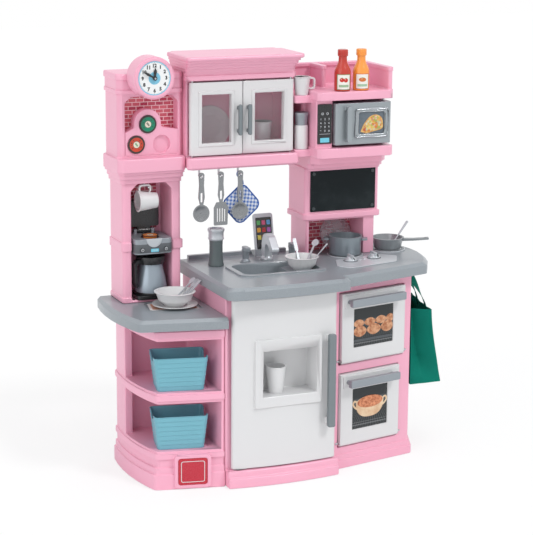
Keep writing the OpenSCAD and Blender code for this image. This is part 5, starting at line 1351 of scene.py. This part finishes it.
def baked(name, low, high, scale=90):
    """Crust that browns in patches: noise goes from pale dough to a dark golden brown."""
    finish = Finish(name)
    patch = finish.noise(scale, 4, 0.62)
    fine = finish.noise(900, 2, 0.6)
    finish.set(base_color=finish.mix(patch.step(0.35, 0.68), low, high), roughness=0.42 + fine * 0.15)
    finish.bump(patch + fine * 0.3, 0.35, 0.0012)
    return finish


crust = baked("golden_crust", (0.68, 0.36, 0.20), (0.34, 0.105, 0.035))
cream = baked("cream_enamel", (0.80, 0.62, 0.42), (0.66, 0.42, 0.25), 30)
stew = baked("baked_filling", (0.72, 0.30, 0.15), (0.38, 0.09, 0.03), 160)
print("baked finishes:", [finish.material.name for finish in (crust, cream, stew)])

# %% [markdown]
# ## Oven windows
# Behind each window a baking scene is printed. The scene here is a plain one: two rows of rolls on a
# tray in the upper oven, and a round dish with two handles in the lower one. They are low relief, so
# that light still plays on them, and none stands further out than the door's own frame.

# %% Rolls on a tray
UPPER, LOWER = "upper_oven_door", "lower_oven_door"
GLASS_BACK, GLASS_FRONT, RELIEF_BACK, GLASS_CORNER = -6.9, -7.5, -7.2, 1.2
ROLLS_LEFT, ROLLS_RIGHT, FAR_ROLL, NEAR_ROLL = 37.5, 182.5, (11, 1.5), (15, 2.3)


def on_oven(name, grids, finish, slot, body):
    """A piece in the right wing that rides on an oven door."""
    return add_skin(name, grids, finish, slot, body=body, frame_of=right_wing)


def dome(rows, x, y, z):
    """Closes a grid of rings behind: its last ring goes back to y, and from there to the middle."""
    rim = rows[-1:] * (1, 0, 1) + (0, y, 0)
    return np.concatenate((rows, rim, np.array((x, y, z)) + 0 * rim))


def roll(x, z, half_width, half_height, tall, lean):
    """Plaited roll: height = tall sqrt(1 - r^2), pressed in by two slanting creases."""
    r, a = np.meshgrid(np.linspace(0, 1, 12), np.linspace(0, 2 * math.pi, 33), indexing="ij")
    dx, dz = r * np.cos(a), r * np.sin(a) * (1 - 0.12 * np.cos(2 * a))
    slant = dx * math.cos(lean) + dz * math.sin(lean)
    crease = 0.4 * sum(np.exp(-((slant - at) / 0.13) ** 2) for at in (0.28, -0.34))
    rise = tall * np.sqrt(np.clip(1 - r ** 2, 0, 1)) * (1 - crease)
    top = np.stack((np.clip(x + half_width * dx, ROLLS_LEFT, ROLLS_RIGHT), GLASS_FRONT - rise,
                    z + half_height * dz), axis=-1)
    return dome(top, x, RELIEF_BACK, z)


window("upper_oven_glass", (36.6, 183.4, 366.6, 482.4), GLASS_CORNER, GLASS_BACK,
       oven_glass("upper_glass", 0.62, 15), UPPER, right_wing, 3)
rolls = [roll(x, z, half, *FAR_ROLL, lean) for x, z, half, lean in (
    (56, 437, 20, 0.5), (97, 438, 21, 0.4), (138, 439, 21, 0.6), (173, 440, 16, 0.5))]
rolls += [roll(x, z, half, *NEAR_ROLL, lean) for x, z, half, lean in (
    (60, 413, 25, 0.7), (112, 414, 26, 0.5), (162, 416, 24, 0.6))]
on_oven("oven_rolls", rolls, crust, "print", UPPER)
tray_finish = brushed("baking_tray", (0.10, 0.11, 0.12), (30, 900, 900), 0.4, 0.6)
tray = plate((38, 182, 382, 389.5), 2, RELIEF_BACK, -8.8, 0.5, 4)
on_oven("oven_tray", tray, tray_finish, "black", UPPER)
print("rolls:", len(rolls))

# %% Dish with a filling
DISH_X, DISH_Z, DISH_HALF, DISH_DEEP, DISH_RISE = 102, 190, 52, 44, 21
DISH_BACK, DISH_FRONT, HANDLE_Y, HANDLE_RADIUS, HANDLE_FLAT = -7.3, -8.3, -8.4, 1.1, 2.6
FILL_HALF_X, FILL_HALF_Z, FILL_UP, FILL_Y, FILL_BACK = 47, 18.5, 3, -9.15, -8.6
window("lower_oven_glass", (36.6, 167.4, 114.6, 239.4), GLASS_CORNER, GLASS_BACK,
       oven_glass("lower_glass", 0.66, 13), LOWER, right_wing, 3)
a = np.linspace(0, 2 * math.pi, 65)
below = np.sin(a) < 0
dish_line = np.stack((
    DISH_X + np.sign(np.cos(a)) * np.abs(np.cos(a)) ** (1 - 0.25 * below) * DISH_HALF,
    DISH_Z + np.where(below, DISH_DEEP, DISH_RISE) * np.sin(a)), axis=1)
bow = np.array(((48, 6), (58, 10), (62.5, 1), (55, -10), (44, -16)))
handles = [tube(curve_through(upright(bow * (side, 1) + (DISH_X, DISH_Z), HANDLE_Y), 26),
                HANDLE_RADIUS, 10, (0, 1, 0), HANDLE_FLAT) for side in (-1, 1)]
dish = plaque(dish_line, DISH_BACK, DISH_FRONT, 0.9, 0.9)
on_oven("oven_dish", [dish, *handles], cream, "print", LOWER)
r, a = np.meshgrid(np.linspace(0, 1, 22), a, indexing="ij")
lumps = 0.5 + 0.5 * np.sin(r * 15 + 3 * a) * np.sin(5 * a - r * 9)
rise = 0.55 * np.sqrt(np.clip(1 - r ** 4, 0, 1)) * (0.4 + lumps * 0.6)
filling = np.stack((DISH_X + FILL_HALF_X * r * np.cos(a), FILL_Y - rise,
                    DISH_Z + FILL_UP + FILL_HALF_Z * r * np.sin(a)), axis=-1)
on_oven("oven_filling", dome(filling, DISH_X, FILL_BACK, DISH_Z + FILL_UP), stew, "print", LOWER)
print("dish handles:", len(handles))

# %% [markdown]
# ## Microwave
# The door has a wavy chrome line round a dark window, which shows a slice of something with a bright
# topping. Like the rolls, it is low relief on the glass. The keypad beside it is flat ink on a black
# panel.

# %% Microwave door
soften("microwave_door", flaked("dark_silver_plastic", (0.32, 0.355, 0.375), metal=0.4), 1.6)
soften("microwave_panel", black, 0.8)


def wavy_frame(x0, x1, z0, z1, y, swell):
    """Closed path round a rectangle, which a sine of four waves round it swells in and out."""
    ring = rounded_ring(x0, x1, z0, z1, 8, 5)
    ring = curve_through(np.vstack((ring[-2:-1], ring, ring[1:2])), 170)[2:-2]
    middle = np.array(((x0 + x1) / 2, (z0 + z1) / 2))
    angle = np.arctan2(ring[:, 1] - middle[1], ring[:, 0] - middle[0])
    ring = middle + (ring - middle) * (1 + swell * np.sin(angle * 4))[:, None]
    return upright(closed(ring), y)


OUTER_TRIM, INNER_TRIM = (284, 388, 970, 1051, -210.2, 0.022), (291.5, 379.5, 976.5, 1044.5, -208.6, 0.012)
trims = [hoop(wavy_frame(*OUTER_TRIM), 1.9), hoop(wavy_frame(*INNER_TRIM), 1.6)]
chrome = brushed("soft_chrome", (0.42, 0.44, 0.46), (300, 300, 300), 0.2, 0.8)
add_skin("microwave_trim", trims, chrome, "steel", body="microwave_door")
mesh_glass = Finish("microwave_glass")
u, v = mesh_glass.across_map()
across, over = (((w * count).fraction() - 0.5).absolute().step(0.10, 0.04)
                for w, count in ((u, 22), (v, 17)))
fog = mesh_glass.noise(14, 3, 0.6)
mesh_glass.set(base_color=mesh_glass.mix(across.most(over) * 0.5 + fog * 0.3, (0.05, 0.065, 0.08),
                                         (0.30, 0.36, 0.42)), roughness=0.16 + fog * 0.1)
window("microwave_window", (292.4, 378.6, 977.4, 1043.6), 2, -204.9, mesh_glass, "microwave_door",
       straight, 4, (292, 379, 977, 1044))
print("microwave trims:", len(trims))

# %% A slice with topping
topping = Finish("bright_topping")
bits = topping.node("ShaderNodeTexVoronoi", {"feature": "F1"}, {"Vector": topping.place(), "Scale": 165},
                    out="Color")
pick = topping.split(bits)[0]
shade = topping.node("ShaderNodeValToRGB", {"ramp": (
    (0.0, (0.62, 0.06, 0.02)), (0.3, (0.70, 0.30, 0.03)), (0.5, (0.78, 0.66, 0.20)),
    (0.68, (0.16, 0.36, 0.04)), (0.85, (0.75, 0.70, 0.55)), (1.0, (0.50, 0.03, 0.02)))}, {"Fac": pick})
wet = topping.noise(400, 3, 0.6)
topping.set(base_color=topping.mix(wet * 0.4, shade, (0.6, 0.3, 0.12)), roughness=0.3 + wet * 0.2)
topping.bump(pick + wet * 0.4, 0.6, 0.0012)
slice_line = loop_through([(301, 985), (312, 1008), (330, 1028), (350, 1034), (368, 1026), (374, 1008),
                           (371, 992), (345, 985), (320, 980), (301, 985)], 90)
slice_crust = baked("slice_crust", (0.80, 0.52, 0.18), (0.55, 0.22, 0.06), 120)
CRUST_BACK, CRUST_FRONT, TOPPING_BACK, TOPPING_FRONT, TOPPING_SHARE = -205.3, -206.6, -206.4, -207.7, 0.84
add_skin("slice_base", plaque(slice_line, CRUST_BACK, CRUST_FRONT, 0.9, 0.3), slice_crust, "print",
         body="microwave_door")
middle = slice_line.mean(0)
inner_line = middle + (slice_line - middle) * TOPPING_SHARE + (0, 0.8)
add_skin("slice_topping", plaque(inner_line, TOPPING_BACK, TOPPING_FRONT, 0.8, 0.3), topping, "print",
         body="microwave_door")
print("slice outline:", len(slice_line), "points")

# %% Keypad
PANEL_Y, KEY_SIZE, ICON_ROW = -193.9, 8.6, 1042
KEY_X, KEY_Z = (178, 191, 204), (1026, 1014.5, 1003, 991.5)
keys = [(mark, KEY_SIZE, x, z) for row, z in zip(("123", "456", "789", "*0#"), KEY_Z)
        for mark, x in zip(row, KEY_X)]
lettering("keypad_digits", keys, PANEL_Y - 0.2, pale_ink, "white")
icons = [disc((x, ICON_ROW), 3.6, PANEL_Y, PANEL_Y - 0.4, 20, 2.4) for x in (183, 199)]
icons.append(plate((174, 208, 982, 982.8), 0.3, PANEL_Y, PANEL_Y - 0.4, 0.05, 2))
add_skin("keypad_icons", icons, pale_ink, "white")
lit = plate((176.5, 205.5, 957.5, 971), 1.5, PANEL_Y, PANEL_Y - 0.6, 0.2, 4)
add_skin("keypad_display", lit, display_glow, "blue")
print("keys:", len(keys))

# %% [markdown]
# ## Badge
# The low badge on the left foot is left bare: a red plate with a pale line round it. The line is one
# closed strip of rings, out along the front and back behind it.

# %% Badge
BADGE_BACK, BADGE_FRONT, LINE_BACK, LINE_FRONT = -12.9, -15.6, -15.5, -15.85
badge_red = moulded("badge_red", (0.50, 0.008, 0.03), 0.26, 0.05, 0.04, coat=0.4)
badge = plate((-135.2, -50.8, 13.8, 92.2), 7.4, BADGE_BACK, BADGE_FRONT, 0.8)
add_skin("badge", badge, badge_red, "red", frame_of=left_wing)
line_out = rounded_ring(-127.5, -58.5, 21.5, 84.5, 6, 6)
line_in = rounded_ring(-125.7, -60.3, 23.3, 82.7, 4.6, 6)
border = np.array([upright(outline, y) for outline, y in (
    (line_out, LINE_BACK), (line_out, LINE_FRONT), (line_in, LINE_FRONT), (line_in, LINE_BACK),
    (line_out, LINE_BACK))])
add_skin("badge_line", border, white, "white", frame_of=left_wing)
print("badge border points:", border.shape[0] * border.shape[1])

# %% [markdown]
# ## Phone
# The phone leans on its stand behind the sink. Its screen carries nine rounded tiles of plain colour,
# which stand for nobody's programs. They are worked out upright, and one frame leans them back.

# %% Phone screen
PHONE_LEAN, PHONE_PLACE = math.radians(12), (72, -34, 602)
SCREEN_BACK, SCREEN_FRONT, TILE_BACK, TILE_FRONT = -4.3, -4.9, -4.7, -5.1
TILE_PITCH_X, TILE_PITCH_Z, TILE_HALF_X, TILE_HALF_Z, TOP_ROW = 16, 22, 5.8, 7, 94


def phone_frame(points):
    """Leans back by 12 degrees about x: y' = y cos a + z sin a, z' = -y sin a + z cos a."""
    x, y, z = np.moveaxis(np.asarray(points, float), -1, 0)
    c, s = math.cos(PHONE_LEAN), math.sin(PHONE_LEAN)
    return straight(np.stack((x, y * c + z * s, -y * s + z * c), axis=-1) + PHONE_PLACE)


gloss_black = moulded("screen_black", (0.01, 0.01, 0.012), 0.12, 0.1, 0.0, coat=0.3)
screen = plate((-25.6, 25.6, 14.4, 109.6), 2.4, SCREEN_BACK, SCREEN_FRONT, 0.2, 4)
add_skin("phone_screen", screen, gloss_black, "black", frame_of=phone_frame)
tile_colours = ((0.10, 0.42, 0.12), (0.62, 0.10, 0.22), (0.12, 0.40, 0.70), (0.72, 0.36, 0.04),
                (0.45, 0.02, 0.03), (0.40, 0.12, 0.45), (0.62, 0.56, 0.10), (0.60, 0.30, 0.06),
                (0.70, 0.62, 0.16))
for index, colour in enumerate(tile_colours):
    x, z = TILE_PITCH_X * (index % 3 - 1), TOP_ROW - TILE_PITCH_Z * (index // 3)
    sides = (x - TILE_HALF_X, x + TILE_HALF_X, z - TILE_HALF_Z, z + TILE_HALF_Z)
    tile_finish = moulded("tile_%d" % index, colour, 0.25, 0.08, 0.02)
    add_skin("phone_tile_%d" % index, plate(sides, 2, TILE_BACK, TILE_FRONT, 0.15, 4), tile_finish,
             "print", frame_of=phone_frame)
print("tiles:", len(tile_colours))

# %% [markdown]
# ## Hob marks
# Each burner is a flat pair of dark rings under its pan, and each knob stands on a dark ring. They are
# thin flat rings laid on the panel.

# %% Burners and knob rings
HOB_Z, COIL_WIDTH, KNOB_OUT, KNOB_IN = 601.0, 3.2, 21.5, 19.6
BURNERS, KNOBS, COIL_RADII = ((299, -119), (456, -92)), ((272, -214), (356, -200)), (51, 46.4)
coils = [lathe(washer(r, 0, 0.4, r - COIL_WIDTH), (x, y, HOB_Z), 56) for x, y in BURNERS
         for r in COIL_RADII]
add_skin("burner_rings", coils, moulded("burner_grey", (0.22, 0.235, 0.25), 0.4, metal=0.4), "steel")
knob_rings = [lathe(washer(KNOB_OUT, 0, 0.5, KNOB_IN), (x, y, HOB_Z), 56) for x, y in KNOBS]
add_skin("knob_rings", knob_rings, dark_grey, "black")
print("rings:", len(coils) + len(knob_rings))

# %% [markdown]
# ## Studio
# The floor is plain white paper that keeps the kitchen's shadow. For camera rays alone a little glow is
# mixed in, which lifts the bare paper to pure white and leaves the shadow grey. The world is white to
# the camera, to reflections and through clear things, and only a soft grey fill to everything else.

# %% Floor and world
FLOOR_HALF, FLOOR_Z, PAPER_GLOW, FILL = 14.0, -0.0005, 0.72, 0.58
gx, gy = np.meshgrid(*[np.linspace(-FLOOR_HALF, FLOOR_HALF, 3)] * 2, indexing="ij")
floor_mesh = bpy.data.meshes.new("floor")
floor_mesh.from_pydata(np.stack((gx, gy, 0 * gx + FLOOR_Z), axis=-1).reshape(-1, 3).tolist(), [],
                       grid_faces(3, 3).tolist())
floor = new_object("floor", floor_mesh)
paper = Finish("floor_paper")
paper.set(base_color=paper.mix(paper.noise(3, 2), (0.95, 0.95, 0.95), (0.97, 0.97, 0.97)), roughness=0.85)
glow = paper.node("ShaderNodeEmission", {}, {"Color": (1, 1, 1), "Strength": 1.0})
to_camera = paper.node("ShaderNodeLightPath", out="Is Camera Ray")
blend = paper.node("ShaderNodeMixShader", {}, {0: to_camera * PAPER_GLOW,
                                               1: Flow(paper, paper.shader.outputs[0]), 2: glow})
paper.feed(paper.nodes["Material Output"].inputs["Surface"], blend)
floor.data.materials.append(paper.material)

world = bpy.data.worlds.new("studio")
world.use_nodes = True
bpy.context.scene.world = world
sky = NodeTree(world.node_tree)
direct, glossy, through = (sky.node("ShaderNodeLightPath", out=ray) for ray in (
    "Is Camera Ray", "Is Glossy Ray", "Is Transmission Ray"))
backdrop = sky.nodes["Background"]
sky.feed(backdrop.inputs["Color"], (1, 1, 1))
sky.feed(backdrop.inputs["Strength"], 1.0)
fill = sky.node("ShaderNodeBackground", {}, {"Color": (0.96, 0.98, 1), "Strength": FILL})
sky.feed(sky.nodes["World Output"].inputs["Surface"], sky.node("ShaderNodeMixShader", {}, {
    0: direct.most(glossy).most(through), 1: fill, 2: Flow(sky, backdrop.outputs[0])}))
print("floor of", 2 * FLOOR_HALF, "m, fill", FILL)

# %% [markdown]
# ## Lamps
# Three suns with wide discs stand for soft boxes: a key from the front right, one overhead, and one
# from the left that fills the shade. A sun lights the floor evenly, however far off it is, so no line
# shows where the floor ends.

# %% Lamps
def sun(name, toward, strength, softness):
    """Sun that shines from a direction; softness is the angle that it fills, in degrees."""
    lamp = bpy.data.lights.new(name, "SUN")
    lamp.energy, lamp.angle = strength, math.radians(softness)
    new_object(name, lamp).rotation_euler = Vector(toward).to_track_quat("Z", "Y").to_euler()


sun("key", (0.36, -0.56, 0.74), 1.05, 12)
sun("overhead", (0.0, -0.15, 1.0), 0.6, 40)
sun("left_fill", (-0.85, -0.42, 0.32), 0.75, 50)
